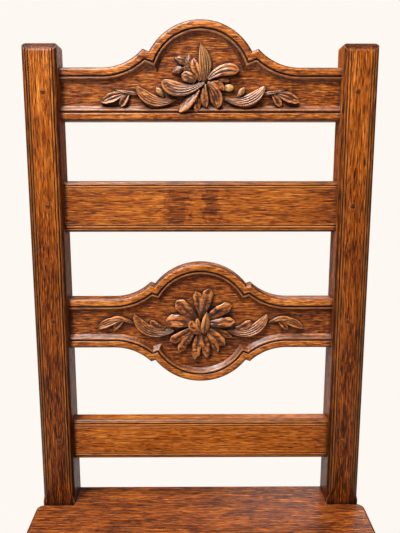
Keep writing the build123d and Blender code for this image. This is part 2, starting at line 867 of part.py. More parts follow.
def cross_bar(bar: Member, shoulder: float, tenon: float, moulded: str) -> Part:
    """Bar across the chair between shoulders at +-shoulder, with an ovolo on the named arris."""
    with BuildPart() as piece:
        with BuildSketch(sideways_plane(-shoulder)):
            add(bar.section())
            front = bar.across - bar.thickness / 2
            if moulded == "lower":
                add(quirked_ovolo((front, bar.bottom), (0, 1), (1, 0)), mode=Mode.SUBTRACT)
            if moulded == "upper":
                add(quirked_ovolo((front, bar.top), (0, -1), (1, 0)), mode=Mode.SUBTRACT)
        extrude(amount=2 * shoulder)
        with BuildSketch(sideways_plane(-shoulder - tenon)):
            add(bar.tenon(0))
        extrude(amount=2 * (shoulder + tenon))
    return piece.part


with BuildPart() as front_apron:
    add(cross_bar(front_apron_bar, leg_inner, frame_tenon_length, "lower"))
    add(front_apron_set.holes(), mode=Mode.SUBTRACT)
    add(block_screw_holes, mode=Mode.SUBTRACT)

with BuildPart() as rear_apron:
    add(cross_bar(rear_apron_bar, post_inner, frame_tenon_length, "none"))
    add(rear_apron_set.holes(), mode=Mode.SUBTRACT)
    add(block_screw_holes, mode=Mode.SUBTRACT)

with BuildPart() as side_apron_right:
    with BuildSketch(facing_plane(leg_back)):
        add(side_apron_bar.section())
        lower_arris = (apron_outer_x, side_apron_bar.bottom)
        add(quirked_ovolo(lower_arris, (0, 1), (-1, 0)), mode=Mode.SUBTRACT)
    extrude(amount=-(back_line - leg_back))
    with BuildSketch(facing_plane(leg_back - frame_tenon_length)):
        add(side_apron_bar.tenon(0))
    extrude(amount=-(back_line - leg_back + 2 * frame_tenon_length))
    add(side_apron_set.holes(), mode=Mode.SUBTRACT)
    add(block_screw_holes, mode=Mode.SUBTRACT)

with BuildPart() as side_apron_left:
    mirror(side_apron_right.part, about=Plane.YZ)

# ---------------------------------------------------------------- stretchers
rear_leg_face = Plane(
    origin=(0, back_line, plumb_bottom),
    z_dir=(0, -cos(radians(leg_splay)), -sin(radians(leg_splay))),
)

with BuildPart() as side_stretcher_right:
    with BuildSketch(facing_plane(leg_back)):
        add(side_stretcher_bar.section())
        upper_arris = (stretcher_outer_x, side_stretcher_bar.top)
        add(quirked_ovolo(upper_arris, (0, -1), (-1, 0)), mode=Mode.SUBTRACT)
    extrude(amount=-(side_stretcher_rear + margin - leg_back))
    split(bisect_by=rear_leg_face, keep=Keep.TOP)
    with BuildSketch(facing_plane(leg_back - frame_tenon_length)):
        add(side_stretcher_bar.tenon(0))
    extrude(amount=-(side_stretcher_rear - leg_back + 2 * frame_tenon_length))
    with BuildSketch(sideways_plane(stretcher_inner_x)):
        add(cross_stretcher_bar.tenon(joint_clearance))
    extrude(amount=cross_tenon_length + mortise_relief, mode=Mode.SUBTRACT)
    add(side_stretcher_set.holes(), mode=Mode.SUBTRACT)

with BuildPart() as side_stretcher_left:
    mirror(side_stretcher_right.part, about=Plane.YZ)

with BuildPart() as cross_stretcher:
    add(cross_bar(cross_stretcher_bar, stretcher_inner_x, cross_tenon_length, "upper"))

with BuildPart() as rear_stretcher:
    add(cross_bar(rear_stretcher_bar, post_inner, frame_tenon_length, "none"))
    add(rear_stretcher_set.holes(), mode=Mode.SUBTRACT)

# ---------------------------------------------------------------- corner blocks, screws, pegs
corner_blocks = {}
for name, corner in corners.items():
    with BuildPart() as corner_block:
        with BuildSketch(Plane.XY.offset(seat_underside - block_height)):
            with BuildLine():
                Polyline(
                    corner.at(block_reach, 0),
                    corner.at(corner.notch_x, 0),
                    corner.at(corner.notch_x, corner.notch_y),
                    corner.at(0, corner.notch_y),
                    corner.at(0, block_reach),
                    close=True,
                )
            make_face()
        extrude(amount=block_height)
        add(block_screw_holes, mode=Mode.SUBTRACT)
        add(seat_screw_holes, mode=Mode.SUBTRACT)
    corner_blocks[name] = corner_block

with BuildPart() as corner_block_screws:
    add(screws(block_screw_planes, 0, 0))

with BuildPart() as seat_screws:
    add(screws(seat_screw_planes, 0, 0))

peg_sets = {
    "crest_rail_pegs": crest_pegs,
    "upper_rail_pegs": upper_pegs,
    "middle_rail_pegs": middle_pegs,
    "lower_rail_pegs": lower_pegs,
    "front_apron_pegs": front_apron_set,
    "rear_apron_pegs": rear_apron_set,
    "rear_stretcher_pegs": rear_stretcher_set,
}
mirrored_peg_sets = {
    "side_apron_pegs": side_apron_set,
    "side_stretcher_pegs": side_stretcher_set,
}
peg_nodes = {}
for name, pegs in {**peg_sets, **mirrored_peg_sets}.items():
    with BuildPart() as peg_node:
        add(pegs.solids())
        if name in mirrored_peg_sets:
            mirror(about=Plane.YZ)
    peg_nodes[name] = peg_node

# ---------------------------------------------------------------- pieces
pieces = {
    "rear_post_right": rear_post_right,
    "rear_post_left": rear_post_left,
    "crest_rail": crest_rail,
    "upper_plain_rail": upper_plain_rail,
    "carved_middle_rail": carved_middle_rail,
    "lower_plain_rail": lower_plain_rail,
    **seat_boards,
    "seat_joint_dowels": seat_joint_dowels,
    "front_leg_right": front_leg_right,
    "front_leg_left": front_leg_left,
    "front_apron": front_apron,
    "rear_apron": rear_apron,
    "side_apron_right": side_apron_right,
    "side_apron_left": side_apron_left,
    "side_stretcher_right": side_stretcher_right,
    "side_stretcher_left": side_stretcher_left,
    "cross_stretcher": cross_stretcher,
    "rear_stretcher": rear_stretcher,
    **{f"corner_block_{name}": block for name, block in corner_blocks.items()},
    "corner_block_screws": corner_block_screws,
    "seat_screws": seat_screws,
    **peg_nodes,
}

os.makedirs("parts", exist_ok=True)
for name, piece in pieces.items():
    piece.part.label = name
    export_step(piece.part, f"parts/{name}.step")
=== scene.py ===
import logging
import math
from collections.abc import Mapping, Sequence
from dataclasses import dataclass, field, replace
from enum import Enum
from typing import Any

import bpy
import numpy as np
from mathutils import Euler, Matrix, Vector


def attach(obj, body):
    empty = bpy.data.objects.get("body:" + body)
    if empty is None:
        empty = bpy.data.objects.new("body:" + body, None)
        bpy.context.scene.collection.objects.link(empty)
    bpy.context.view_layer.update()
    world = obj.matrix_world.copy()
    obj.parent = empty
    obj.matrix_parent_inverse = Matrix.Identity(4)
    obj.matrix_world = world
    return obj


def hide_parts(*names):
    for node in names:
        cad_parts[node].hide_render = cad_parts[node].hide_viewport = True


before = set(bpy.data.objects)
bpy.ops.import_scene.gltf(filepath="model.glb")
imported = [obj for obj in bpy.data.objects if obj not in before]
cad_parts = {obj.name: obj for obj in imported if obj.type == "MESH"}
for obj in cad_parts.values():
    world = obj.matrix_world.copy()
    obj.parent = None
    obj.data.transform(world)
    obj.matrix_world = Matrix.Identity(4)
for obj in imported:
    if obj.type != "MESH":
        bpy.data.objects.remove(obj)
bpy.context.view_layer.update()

# Joined oak side chair with two carved back rails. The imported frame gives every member. This
# file gives them their finish and adds what a carver and a joiner leave on the surface: the
# flower sprays on the crest and middle rails, and the rounded ends of the pegs. Lengths are in
# millimetres until a mesh is made. The frame is in metres.

LOG = logging.getLogger("oak_chair")
MM = 0.001
BODY = "root"
LEAN = 3.0  # degrees that the back leans
SIDES = ("right", "left")
END_SLACK = 0.02  # how far from a peg's end a point still belongs to it
FULL_TURN = 6.283
ACROSS = np.array([1.0, 0.0, 0.0])
UP = np.array([0.0, math.sin(math.radians(LEAN)), math.cos(math.radians(LEAN))])
OUT = np.array([0.0, -math.cos(math.radians(LEAN)), math.sin(math.radians(LEAN))])

Colour = tuple[float, float, float]
Point = tuple[float, float]


def paint(*screen: float) -> Colour:
    """A linear colour from the 0 to 255 values that a screen shows.

    Args:
        screen: Screen values of red, green and blue.

    Returns:
        The linear red, green and blue.
    """
    shares = (value / 255.0 for value in screen)
    return tuple(s / 12.92 if s <= 0.04045 else ((s + 0.055) / 1.055) ** 2.4 for s in shares)


# ---- node trees


class Wire:
    """One output of a node, which takes part in Python arithmetic."""

    def __init__(self, bench: "Bench", node: bpy.types.Node, output: int | str = 0) -> None:
        """Keeps a node and the index or name of the output that the wire leaves from."""
        self.bench, self.node, self.output = bench, node, output

    @property
    def socket(self) -> bpy.types.NodeSocket:
        """The socket that the wire leaves from."""
        return self.node.outputs[self.output]

    def other(self, output: int | str) -> "Wire":
        """Another output of the same node."""
        return Wire(self.bench, self.node, output)

    def __add__(self, other: "Wire | float") -> "Wire":
        """Sum of two numbers."""
        return self.bench.maths("ADD", self, other)

    def __radd__(self, other: float) -> "Wire":
        """Sum, with the wire at the right."""
        return self.bench.maths("ADD", other, self)

    def __sub__(self, other: "Wire | float") -> "Wire":
        """Difference of two numbers."""
        return self.bench.maths("SUBTRACT", self, other)

    def __rsub__(self, other: float) -> "Wire":
        """Difference, with the wire at the right."""
        return self.bench.maths("SUBTRACT", other, self)

    def __mul__(self, other: "Wire | float") -> "Wire":
        """Product of two numbers."""
        return self.bench.maths("MULTIPLY", self, other)

    def __rmul__(self, other: float) -> "Wire":
        """Product, with the wire at the right."""
        return self.bench.maths("MULTIPLY", other, self)

    def __neg__(self) -> "Wire":
        """The number with its sign changed."""
        return self.bench.maths("MULTIPLY", self, -1.0)


class Bench:
    """Builds one node tree from Python calls."""

    def __init__(self, tree: bpy.types.NodeTree) -> None:
        """Takes a shader or geometry tree to build in."""
        self.tree = tree

    def node(
        self,
        kind: str,
        settings: Mapping[str, Any] | None = None,
        values: Mapping[int | str, Any] | None = None,
        output: int | str = 0,
    ) -> Wire:
        """Adds a node.

        Args:
            kind: Blender's type name.
            settings: Properties, and "stops" for a ramp, set before the sockets.
            values: Numbers, vectors or wires for its inputs, by name or index.
            output: The output that the wire leaves from.

        Returns:
            A wire from the node.
        """
        made = self.tree.nodes.new(kind)
        for name, choice in (settings or {}).items():
            if name == "stops":
                self._set_stops(made.color_ramp, choice)
            else:
                setattr(made, name, choice)
        for key, value in (values or {}).items():
            self._feed(made.inputs[key], value)
        return Wire(self, made, output)

    def maths(self, operation: str, *values: "Wire | float") -> Wire:
        """A Math node on numbers."""
        return self.node("ShaderNodeMath", {"operation": operation}, dict(enumerate(values)))

    def vector_maths(self, operation: str, *values: Any) -> Wire:
        """A Vector Math node on vectors."""
        return self.node("ShaderNodeVectorMath", {"operation": operation}, dict(enumerate(values)))

    def dot(self, first: Wire, second: Sequence[float]) -> Wire:
        """How far a vector points along another."""
        return self.vector_maths("DOT_PRODUCT", first, tuple(second)).other("Value")

    def blend(self, share: Wire, first: Any, second: Any) -> Wire:
        """A colour between two others, where a share of 0 gives the first."""
        return self.node("ShaderNodeMix", {"data_type": "RGBA"}, {0: share, 6: first, 7: second}, 2)

    def spread(self, value: Wire, low: float, high: float) -> Wire:
        """A number stretched smoothly, from 0 at one value to 1 at another."""
        ends = {"Value": value, 1: low, 2: high}
        return self.node("ShaderNodeMapRange", {"interpolation_type": "SMOOTHSTEP"}, ends)

    def _set_stops(self, ramp: bpy.types.ColorRamp, stops: Sequence[tuple[float, Colour]]) -> None:
        """Gives a ramp its stops.

        Args:
            ramp: The ramp.
            stops: Place and colour of each stop.
        """
        while len(ramp.elements) < len(stops):
            ramp.elements.new(0.5)
        for element, (place, colour) in zip(ramp.elements, stops):
            element.position = place
            element.color = (*colour, 1.0)

    def _feed(self, socket: bpy.types.NodeSocket, value: Any) -> None:
        """Links a wire to a socket, or sets the socket's value.

        Args:
            socket: The socket.
            value: A wire, or a number, vector or colour.
        """
        if isinstance(value, Wire):
            self.tree.links.new(value.socket, socket)
        elif socket.type == "RGBA":
            socket.default_value = (*value, 1.0)
        else:
            socket.default_value = value


def shader_bench(block: bpy.types.Material | bpy.types.World) -> Bench:
    """An empty shader tree.

    Args:
        block: The material or world that it belongs to.

    Returns:
        A bench on the tree.
    """
    block.use_nodes = True
    block.node_tree.nodes.clear()
    return Bench(block.node_tree)


# ---- finishes


class Run(Enum):
    """The way the grain of a member runs, as the turn that brings it to the pattern's X axis."""

    ACROSS = (0.0, 0.0, 0.0)
    DEEP = (0.0, 0.0, -90.0)
    UPRIGHT = (0.0, 90.0, 0.0)
    CORNER_RIGHT = (0.0, 0.0, 45.0)
    CORNER_LEFT = (0.0, 0.0, -45.0)

    def turn(self, lean: float) -> Euler:
        """The turn for a Mapping node, on a member that leans back by some degrees."""
        x, y, z = self.value
        return Euler(tuple(math.radians(angle) for angle in (x + lean, y, z)))


@dataclass(frozen=True)
class OakPalette:
    """Colours of a wood from its pores to its worn edges, with the colours of wax and painted
    shade, of painted sheen, and of dust and painted sheen.
    """

    pore: Colour = paint(34, 12, 3)
    dark: Colour = paint(88, 35, 8)
    middle: Colour = paint(152, 74, 15)
    bright: Colour = paint(202, 110, 28)
    pale: Colour = paint(236, 156, 74)
    # Dark wax, which also paints shade in recesses, under the carving and between parts.
    wax_and_shade: Colour = paint(24, 10, 4)
    worn: Colour = paint(228, 142, 70)
    bare: Colour = paint(230, 182, 108)
    # Painted sheen: colour of faces turned up and to the left, towards the key lamp.
    painted_sheen: Colour = paint(222, 178, 156)
    # Dust and painted sheen: dull greyish brown of thin fillets.
    dust_and_sheen: Colour = paint(112, 80, 66)

    def stops(self) -> tuple[tuple[float, Colour], ...]:
        """The wood's colours, evenly from a tone of 0 to one of 1."""
        colours = (self.pore, self.dark, self.middle, self.bright, self.pale)
        return tuple(zip((0.0, 0.26, 0.5, 0.74, 1.0), colours))


@dataclass(frozen=True)
class Mark:
    """Noise drawn out along the grain: a mark's length and width in millimetres, the octaves of
    the noise, the strength of the finer ones, and the range that cuts the marks out of it."""

    length: float
    width: float
    octaves: float = 2.0
    rough: float = 0.5
    cut: Point | None = None


@dataclass(frozen=True)
class Relief:
    """How a moulded face is coloured by depth: polish with a painted highlight where proud, wax
    with painted shade on the slopes below.

    Depths are millimetres below the front of the face. The flank shade is painted shade: how
    much darker than the panel the mouldings are that run beside it, at some distance from a
    middle line.
    """

    front: float
    slope: Point = (0.35, 1.0)
    ground: Point = (1.8, 3.8)
    slope_wax_and_shade: float = 0.60
    polish_and_painted_highlight: float = 0.10
    dull: float = 0.04
    middle: float = 0.0
    painted_flank_shade: float = 0.0
    flank_start: Point = (12.6, 14.6)
    flank_depth: Point = (7.0, 5.0)
    flank_facing: Point = (0.1, 0.4)


@dataclass(frozen=True)
class OakFinish:
    """Old waxed oak on one member: streaks, pores, flecks, dark wax and painted shade in recesses,
    painted sheen, worn arrises.
    """

    name: str
    run: Run = Run.ACROSS
    lean: float = 0.0
    seed: float = 0.0
    tone: float = 0.5
    contrast: float = 1.0
    fade: float = 0.0
    ends: float = 0.0
    stains: tuple[Point, ...] = ()
    tooling: float = 0.0
    streak: Mark = Mark(40.0, 0.8, rough=0.55)
    gloss: float = 0.4
    polish: float = 0.08
    wax_and_shade_reach: float = 5.0
    wax_and_shade: float = 0.9
    wear: float = 0.7
    painted_sheen: float = 0.0
    dust_and_sheen: float = 0.0
    mottle: float = 0.12
    carved: bool = False
    relief: Relief | None = None
    palette: OakPalette = field(default_factory=OakPalette)

    def material(self) -> bpy.types.Material:
        """Builds the finish.

        Returns:
            The material.
        """
        made = bpy.data.materials.new(self.name)
        OakSurface(self, shader_bench(made).tree).build()
        return made


class OakSurface(Bench):
    """Builds the node tree of an oak finish.

    A range is the value at which something starts and the value at which it is full. A weight
    is how far something moves the tone, which runs from 0 for the pores to 1 for pale wood.
    """

    FINE, FINE_WEIGHT = Mark(18.0, 0.55, rough=0.6), 1.5
    CLOUD, CLOUD_WEIGHT = Mark(60.0, 18.0), 0.45
    PORE, PORE_WEIGHT = Mark(12.0, 0.65, 1.0, cut=(0.56, 0.68)), 0.46
    FLECK, FLECK_WEIGHT = Mark(14.0, 1.0, 1.0, cut=(0.58, 0.70)), 0.18
    STAIN, STAIN_WEIGHT = Mark(13.0, 9.0, 3.0, 0.65), 0.22
    STAIN_START, STAIN_FULL, RAGGED = 1.15, 0.45, 5.0  # of the stain's reach
    MOTTLE = Mark(7.0, 3.6, rough=0.6)
    TOOL_CUT = Mark(15.0, 4.2, 1.0, 0.4)
    PATCH = Mark(9.0, 4.0, rough=0.6, cut=(0.34, 0.60))
    STREAK_WEIGHT = 1.2
    RING_TURN, RING_WEIGHT = 1.25, 0.035  # radians for each millimetre across the grain
    RING_SLANT = 0.4
    END_GRAIN_RANGE, END_GRAIN_WEIGHT = (0.35, 0.75), 0.34
    RAIL_END, RAIL_END_WEIGHT = 65.0, 0.16  # length of a rail's dark end
    # Ranges of the wax and painted shade in recesses: of the open share, and of a carving's proud
    # number.
    RECESS_RANGE, HOLLOW_RANGE = (0.96, 0.54), (0.48, 0.14)
    ARRIS_RANGE, RIDGE_RANGE, THIN_RANGE = (0.95, 0.6), (0.68, 0.92), (0.74, 0.58)
    RUBBED_RANGE = (0.62, 1.08)
    # Direction of the key lamp; faces turned this way get a painted sheen.
    LIT_WAY, LIT_RANGE = ACROSS * -0.42 + UP * 0.72 + OUT * 0.55, (0.72, 0.98)
    WANDER, DRIFT = (95.0, 38.0, 38.0), 6.0  # size of the grain's slow bends, and their sway
    SEED_STEP = (311.0, 173.0, 97.0)  # how far apart two seeds are in the pattern
    FADE_LEVEL, FADE_HEIGHT = 760.0, 300.0  # height that keeps its tone, and that of one fade
    FADE_FOOT = 470.0  # lowest place that the fade darkens further
    LEG_RANGE, LEG_WEIGHT = (450.0, 330.0), 1.1  # heights of the leg below, against the fade
    SOLID_REACH, ARRIS_SOFTNESS, BUMP = 2.4, 0.8, 0.35  # millimetres
    BUMPS, BUMP_STRENGTH = (0.5, 0.35, 0.5), 0.5  # of a streak, the fine grain and a pore
    ROUGH, ROUGHER = 0.40, (0.35, 0.2, 0.15)  # plain, and what streak, wax and pore add
    COAT_ROUGH, CARVED_EDGE, SAMPLES = 0.22, 0.6, 6

    def __init__(self, finish: OakFinish, tree: bpy.types.NodeTree) -> None:
        """Lays out the coordinates and the noises that the whole finish shares.

        Args:
            finish: The finish.
            tree: The material's tree.
        """
        super().__init__(tree)
        self.finish = finish
        self.place = self.node("ShaderNodeTexCoord", output="Object")
        self.normal = self.place.other("Normal")
        self.grain = self._grain()
        self.streak, self.fine = self._noise(finish.streak), self._noise(self.FINE)
        self.pore = self._noise(self.PORE)

    def build(self) -> None:
        """Lays colour, painted sheen, wax and painted shade, wear and relief over each other and
        joins them in one shader.
        """
        finish, palette = self.finish, self.finish.palette
        colour = self._colour()
        # Painted sheen: faces turned towards the key lamp are lightened in patches towards a pale
        # sheen colour.
        if finish.painted_sheen:
            lit = self.spread(self.dot(self.normal, self.LIT_WAY), *self.LIT_RANGE)
            painted_sheen = lit * self._noise(self.PATCH) * finish.painted_sheen
            colour = self.blend(painted_sheen, colour, palette.painted_sheen)
        if finish.carved:
            patina = self._layer("patina")
            colour = self.blend(self.maths("MAXIMUM", patina, 0.0), colour, palette.bare)
            colour = self.blend(self.maths("MAXIMUM", -patina, 0.0), colour, palette.wax_and_shade)
        # Wax and painted shade: places shut in by nearby wood, and the slopes of a moulded face,
        # are darkened towards the dark wax colour.
        recess = self._occlusion(finish.wax_and_shade_reach, self.RECESS_RANGE, self.HOLLOW_RANGE)
        wax_and_painted_shade = recess * finish.wax_and_shade
        if finish.relief:
            wax_and_painted_shade = self.maths("MAXIMUM", wax_and_painted_shade, self._slope_wax_and_painted_shade(finish.relief))
        colour = self.blend(wax_and_painted_shade, colour, palette.wax_and_shade)
        edge = self._occlusion(self.SOLID_REACH, self.ARRIS_RANGE, self.RIDGE_RANGE, inside=True)
        rubbed = edge * self.spread(self.fine + self.streak, *self.RUBBED_RANGE)
        colour = self.blend(rubbed * (1.0 - wax_and_painted_shade) * finish.wear, colour, palette.worn)
        # Dust and painted sheen: thin fillets and arrises are greyed towards a dull greyish brown.
        if finish.dust_and_sheen:
            thin = self._occlusion(self.SOLID_REACH, self.THIN_RANGE, inside=True)
            colour = self.blend(thin * finish.dust_and_sheen, colour, palette.dust_and_sheen)
        streak, wax_and_shade, pore = self.ROUGHER
        rough = self.ROUGH + (self.streak - 0.5) * streak + recess * wax_and_shade + self.pore * pore
        streak, fine, pore = self.BUMPS
        height = self.streak * streak + self.fine * fine - self.pore * pore
        if finish.tooling:
            height = height + self._noise(self.TOOL_CUT) * finish.tooling
        values = {"Radius": self.ARRIS_SOFTNESS * MM}
        soft = self.node("ShaderNodeBevel", {"samples": self.SAMPLES}, values)
        bumps = {"Strength": self.BUMP_STRENGTH, "Distance": self.BUMP * MM}
        bumps |= {"Height": height, "Normal": soft}
        sockets = {
            "Base Color": colour,
            "Roughness": rough,
            "Normal": self.node("ShaderNodeBump", None, bumps),
            "Specular IOR Level": finish.gloss,
            "Coat Weight": finish.polish,
            "Coat Roughness": self.COAT_ROUGH,
        }
        shader = self.node("ShaderNodeBsdfPrincipled", None, sockets)
        self.node("ShaderNodeOutputMaterial", None, {"Surface": shader})

    def _grain(self) -> Wire:
        """Millimetres along and across the grain, with the grain's slow wander.

        Returns:
            A place in the pattern.
        """
        shift = tuple(self.finish.seed * step for step in self.SEED_STEP)
        turn = self.finish.run.turn(self.finish.lean)
        values = {0: self.place, "Location": shift, "Rotation": turn, "Scale": (1.0 / MM,) * 3}
        straight = self.node("ShaderNodeMapping", None, values)
        slow = self.vector_maths("MULTIPLY", straight, tuple(1 / w for w in self.WANDER))
        values = {"Vector": slow, "Scale": 1.0, "Detail": 1.0}
        drift = self.node("ShaderNodeTexNoise", None, values, 1)
        return self.vector_maths("MULTIPLY_ADD", drift, (0.0, self.DRIFT, self.DRIFT), straight)

    def _noise(self, mark: Mark) -> Wire:
        """Noise drawn out along the grain.

        Args:
            mark: Size and make of its marks.

        Returns:
            A number about 0.5, or from 0 to 1 where the marks are cut out.
        """
        scale = (1 / mark.length, 1 / mark.width, 1 / mark.width)
        scaled = self.vector_maths("MULTIPLY", self.grain, scale)
        values = {"Vector": scaled, "Scale": 1.0, "Detail": mark.octaves, "Roughness": mark.rough}
        noise = self.node("ShaderNodeTexNoise", None, values)
        return self.spread(noise, *mark.cut) if mark.cut else noise

    def _colour(self) -> Wire:
        """The wood's colour before wax and wear.

        Returns:
            The colour.
        """
        finish = self.finish
        parts = self.node("ShaderNodeSeparateXYZ", None, {0: self.grain})
        across = parts.other(1) + parts.other(2) * self.RING_SLANT
        rings = self.maths("SINE", across * self.RING_TURN)
        streaks = (self.streak - 0.5) * (self.STREAK_WEIGHT * finish.contrast)
        clouds = (self._noise(self.CLOUD) - 0.5) * (self.CLOUD_WEIGHT * finish.contrast)
        tone = finish.tone + streaks + (self.fine - 0.5) * self.FINE_WEIGHT + clouds
        tone = tone + rings * self.RING_WEIGHT + self._noise(self.FLECK) * self.FLECK_WEIGHT
        tone = tone - self.pore * self.PORE_WEIGHT - self._end_grain() * self.END_GRAIN_WEIGHT
        along = parts.other(0) - finish.seed * self.SEED_STEP[0]
        if finish.mottle:
            tone = tone + (self._noise(self.MOTTLE) - 0.5) * finish.mottle
        if finish.relief:
            tone = tone + self._relief_tone(finish.relief)
        if finish.fade:
            above = self.maths("MAXIMUM", along, self.FADE_FOOT) - self.FADE_LEVEL
            leg = self.spread(along, *self.LEG_RANGE) * (finish.fade * self.LEG_WEIGHT)
            tone = tone + above * (finish.fade / self.FADE_HEIGHT) + leg
        if finish.ends:
            away = self.maths("ABSOLUTE", along)
            end = self.spread(away, finish.ends - self.RAIL_END, finish.ends)
            tone = tone - end * self.RAIL_END_WEIGHT
        for middle, reach in finish.stains:
            ragged = (self._noise(self.STAIN) - 0.5) * (reach * self.RAGGED)
            away = self.maths("ABSOLUTE", along - middle) + ragged
            stain = self.spread(away, reach * self.STAIN_START, reach * self.STAIN_FULL)
            tone = tone - stain * self.STAIN_WEIGHT
        return self.node("ShaderNodeValToRGB", {"stops": finish.palette.stops()}, {0: tone})

    def _depth(self, relief: Relief) -> Wire:
        """Millimetres below the front of the face."""
        return relief.front - self.dot(self.place, OUT / MM)

    def _relief_tone(self, relief: Relief) -> Wire:
        """Change of tone: polish with a painted highlight at the front, duller on the ground,
        painted shade on the flanks.

        Args:
            relief: The face.

        Returns:
            What is added to the tone.
        """
        depth = self._depth(relief)
        proud = 1.0 - self.spread(depth, *relief.slope)
        tone = proud * relief.polish_and_painted_highlight - self.spread(depth, *relief.ground) * relief.dull
        if relief.painted_flank_shade:
            across = self.node("ShaderNodeSeparateXYZ", None, {0: self.place}) * (1.0 / MM)
            away = self.maths("ABSOLUTE", across - relief.middle)
            ahead = self.spread(self.dot(self.normal, OUT), *relief.flank_facing)
            aside = self.spread(away, *relief.flank_start) * ahead
            tone = tone - aside * self.spread(depth, *relief.flank_depth) * relief.painted_flank_shade
        return tone

    def _slope_wax_and_painted_shade(self, relief: Relief) -> Wire:
        """Share of old wax and painted shade on the slopes and in the grooves."""
        fallen = self.spread(self._depth(relief), *relief.slope)
        return fallen * (1.0 - self.spread(self._depth(relief), *relief.ground)) * relief.slope_wax_and_shade

    def _end_grain(self) -> Wire:
        """How far a face looks along the grain.

        Returns:
            A number from 0 to 1.
        """
        values = {0: self.normal, "Rotation": self.finish.run.turn(self.finish.lean)}
        turned = self.node("ShaderNodeMapping", {"vector_type": "NORMAL"}, values)
        along = self.node("ShaderNodeSeparateXYZ", None, {0: turned})
        return self.spread(self.maths("ABSOLUTE", along), *self.END_GRAIN_RANGE)

    def _layer(self, name: str) -> Wire:
        """A number that the carving's mesh carries."""
        return self.node("ShaderNodeAttribute", {"attribute_name": name}, output="Fac")

    def _occlusion(
        self, reach: float, low: Point, proud: Point | None = None, inside: bool = False
    ) -> Wire:
        """How shut in a place is, or how near an arris, where it looks into the wood.

        Args:
            reach: Millimetres that it looks.
            low: Range of the open share, or of the share of wood.
            proud: Range of what a carving's mesh carries, which counts as well.
            inside: Whether it looks into the wood.

        Returns:
            A number from 0 to 1.
        """
        settings = {"samples": self.SAMPLES, "inside": inside, "only_local": inside}
        values = {"Distance": reach * MM}
        share = self.spread(self.node("ShaderNodeAmbientOcclusion", settings, values, "AO"), *low)
        if proud and self.finish.carved:
            share = share * self.CARVED_EDGE if inside else share
            share = self.maths("MAXIMUM", share, self.spread(self._layer("proud"), *proud))
        return share


@dataclass(frozen=True)
class SteelFinish:
    """Dull wood-screw steel with brown spots."""

    name: str = "screw_steel"
    clean: Colour = paint(150, 146, 140)
    spotted: Colour = paint(92, 66, 48)
    spot_scale: float = 420.0
    spot_range: Point = (0.48, 0.66)
    spot_cover: float = 0.6
    roughness: Point = (0.35, 0.4)

    def material(self) -> bpy.types.Material:
        """Builds the finish.

        Returns:
            The material.
        """
        made = bpy.data.materials.new(self.name)
        bench = shader_bench(made)
        place = bench.node("ShaderNodeTexCoord", output="Object")
        noise = {"Vector": place, "Scale": self.spot_scale, "Detail": 4.0}
        spots = bench.spread(bench.node("ShaderNodeTexNoise", None, noise), *self.spot_range)
        smooth, rougher = self.roughness
        sockets = {
            "Base Color": bench.blend(spots, self.clean, self.spotted),
            "Metallic": 1.0 - spots * self.spot_cover,
            "Roughness": smooth + spots * rougher,
        }
        shader = bench.node("ShaderNodeBsdfPrincipled", None, sockets)
        bench.node("ShaderNodeOutputMaterial", None, {"Surface": shader})
        return made


def backdrop_share(rays: Wire, mirrored: Wire) -> Wire:
    """Where the plain backdrop colour shows: to the camera, through glass, and in gloss.

    Args:
        rays: A Light Path node.
        mirrored: Share of it that glossy rays see.

    Returns:
        Its share.
    """
    seen = rays.bench.maths("MAXIMUM", rays.other("Is Camera Ray"), mirrored)
    return rays.bench.maths("MAXIMUM", seen, rays.other("Is Transmission Ray"))


@dataclass(frozen=True)
class FloorFinish:
    """A pale floor that runs into the backdrop and keeps the chair's shadow near it."""

    name: str = "pale_floor"
    backdrop: Colour = paint(253, 248, 242)
    ground: Colour = paint(226, 222, 216)
    grit: Colour = paint(200, 195, 188)
    grit_scale: float = 60.0
    grit_share: float = 0.06
    shadow_share: float = 0.35
    shadow_range: Point = (0.9, 0.27)
    mirror: float = 0.1
    mirror_start: Point = (0.3, 1.5)

    def material(self) -> bpy.types.Material:
        """Builds the finish.

        Returns:
            The material.
        """
        made = bpy.data.materials.new(self.name)
        bench = shader_bench(made)
        place = bench.node("ShaderNodeTexCoord", output="Object")
        away = bench.vector_maths("LENGTH", place).other("Value")
        near = bench.spread(away, *self.shadow_range)
        noise = {"Vector": place, "Scale": self.grit_scale, "Detail": 3.0}
        grit = bench.node("ShaderNodeTexNoise", None, noise) * self.grit_share
        colour = bench.blend(grit, self.ground, self.grit)
        plain = bench.node("ShaderNodeBsdfDiffuse", None, {"Color": colour})
        glow = bench.node("ShaderNodeEmission", None, {"Color": self.backdrop, "Strength": 1.0})
        rays = bench.node("ShaderNodeLightPath")
        behind = bench.node("ShaderNodeSeparateXYZ", None, {0: place}, 1)
        far = rays.other("Is Glossy Ray") * bench.spread(behind, *self.mirror_start)
        share = backdrop_share(rays, far * self.mirror) * (1.0 - near * self.shadow_share)
        both = bench.node("ShaderNodeMixShader", None, {0: share, 1: plain, 2: glow})
        bench.node("ShaderNodeOutputMaterial", None, {"Surface": both})
        return made


# ---- meshes


def add_object(name: str, data: bpy.types.ID) -> bpy.types.Object:
    """Puts a mesh, lamp or camera into the scene.

    Args:
        name: Name of its object.
        data: What the object shows.

    Returns:
        The object.
    """
    made = bpy.data.objects.new(name, data)
    bpy.context.scene.collection.objects.link(made)
    return made


def make_piece(
    name: str, points: np.ndarray, faces: Sequence[Sequence[int]], material: bpy.types.Material
) -> bpy.types.Object:
    """Makes a smooth mesh object whose place is in its mesh.

    Args:
        name: Name of the object.
        points: Points in metres, one row each.
        faces: Point numbers of each face, anticlockwise seen from outside.
        material: Its finish.

    Returns:
        The object, in the scene.
    """
    mesh = bpy.data.meshes.new(name)
    mesh.from_pydata([tuple(p) for p in points], [], [tuple(f) for f in faces])
    mesh.materials.append(material)
    mesh.shade_smooth()
    mesh.validate()
    return add_object(name, mesh)


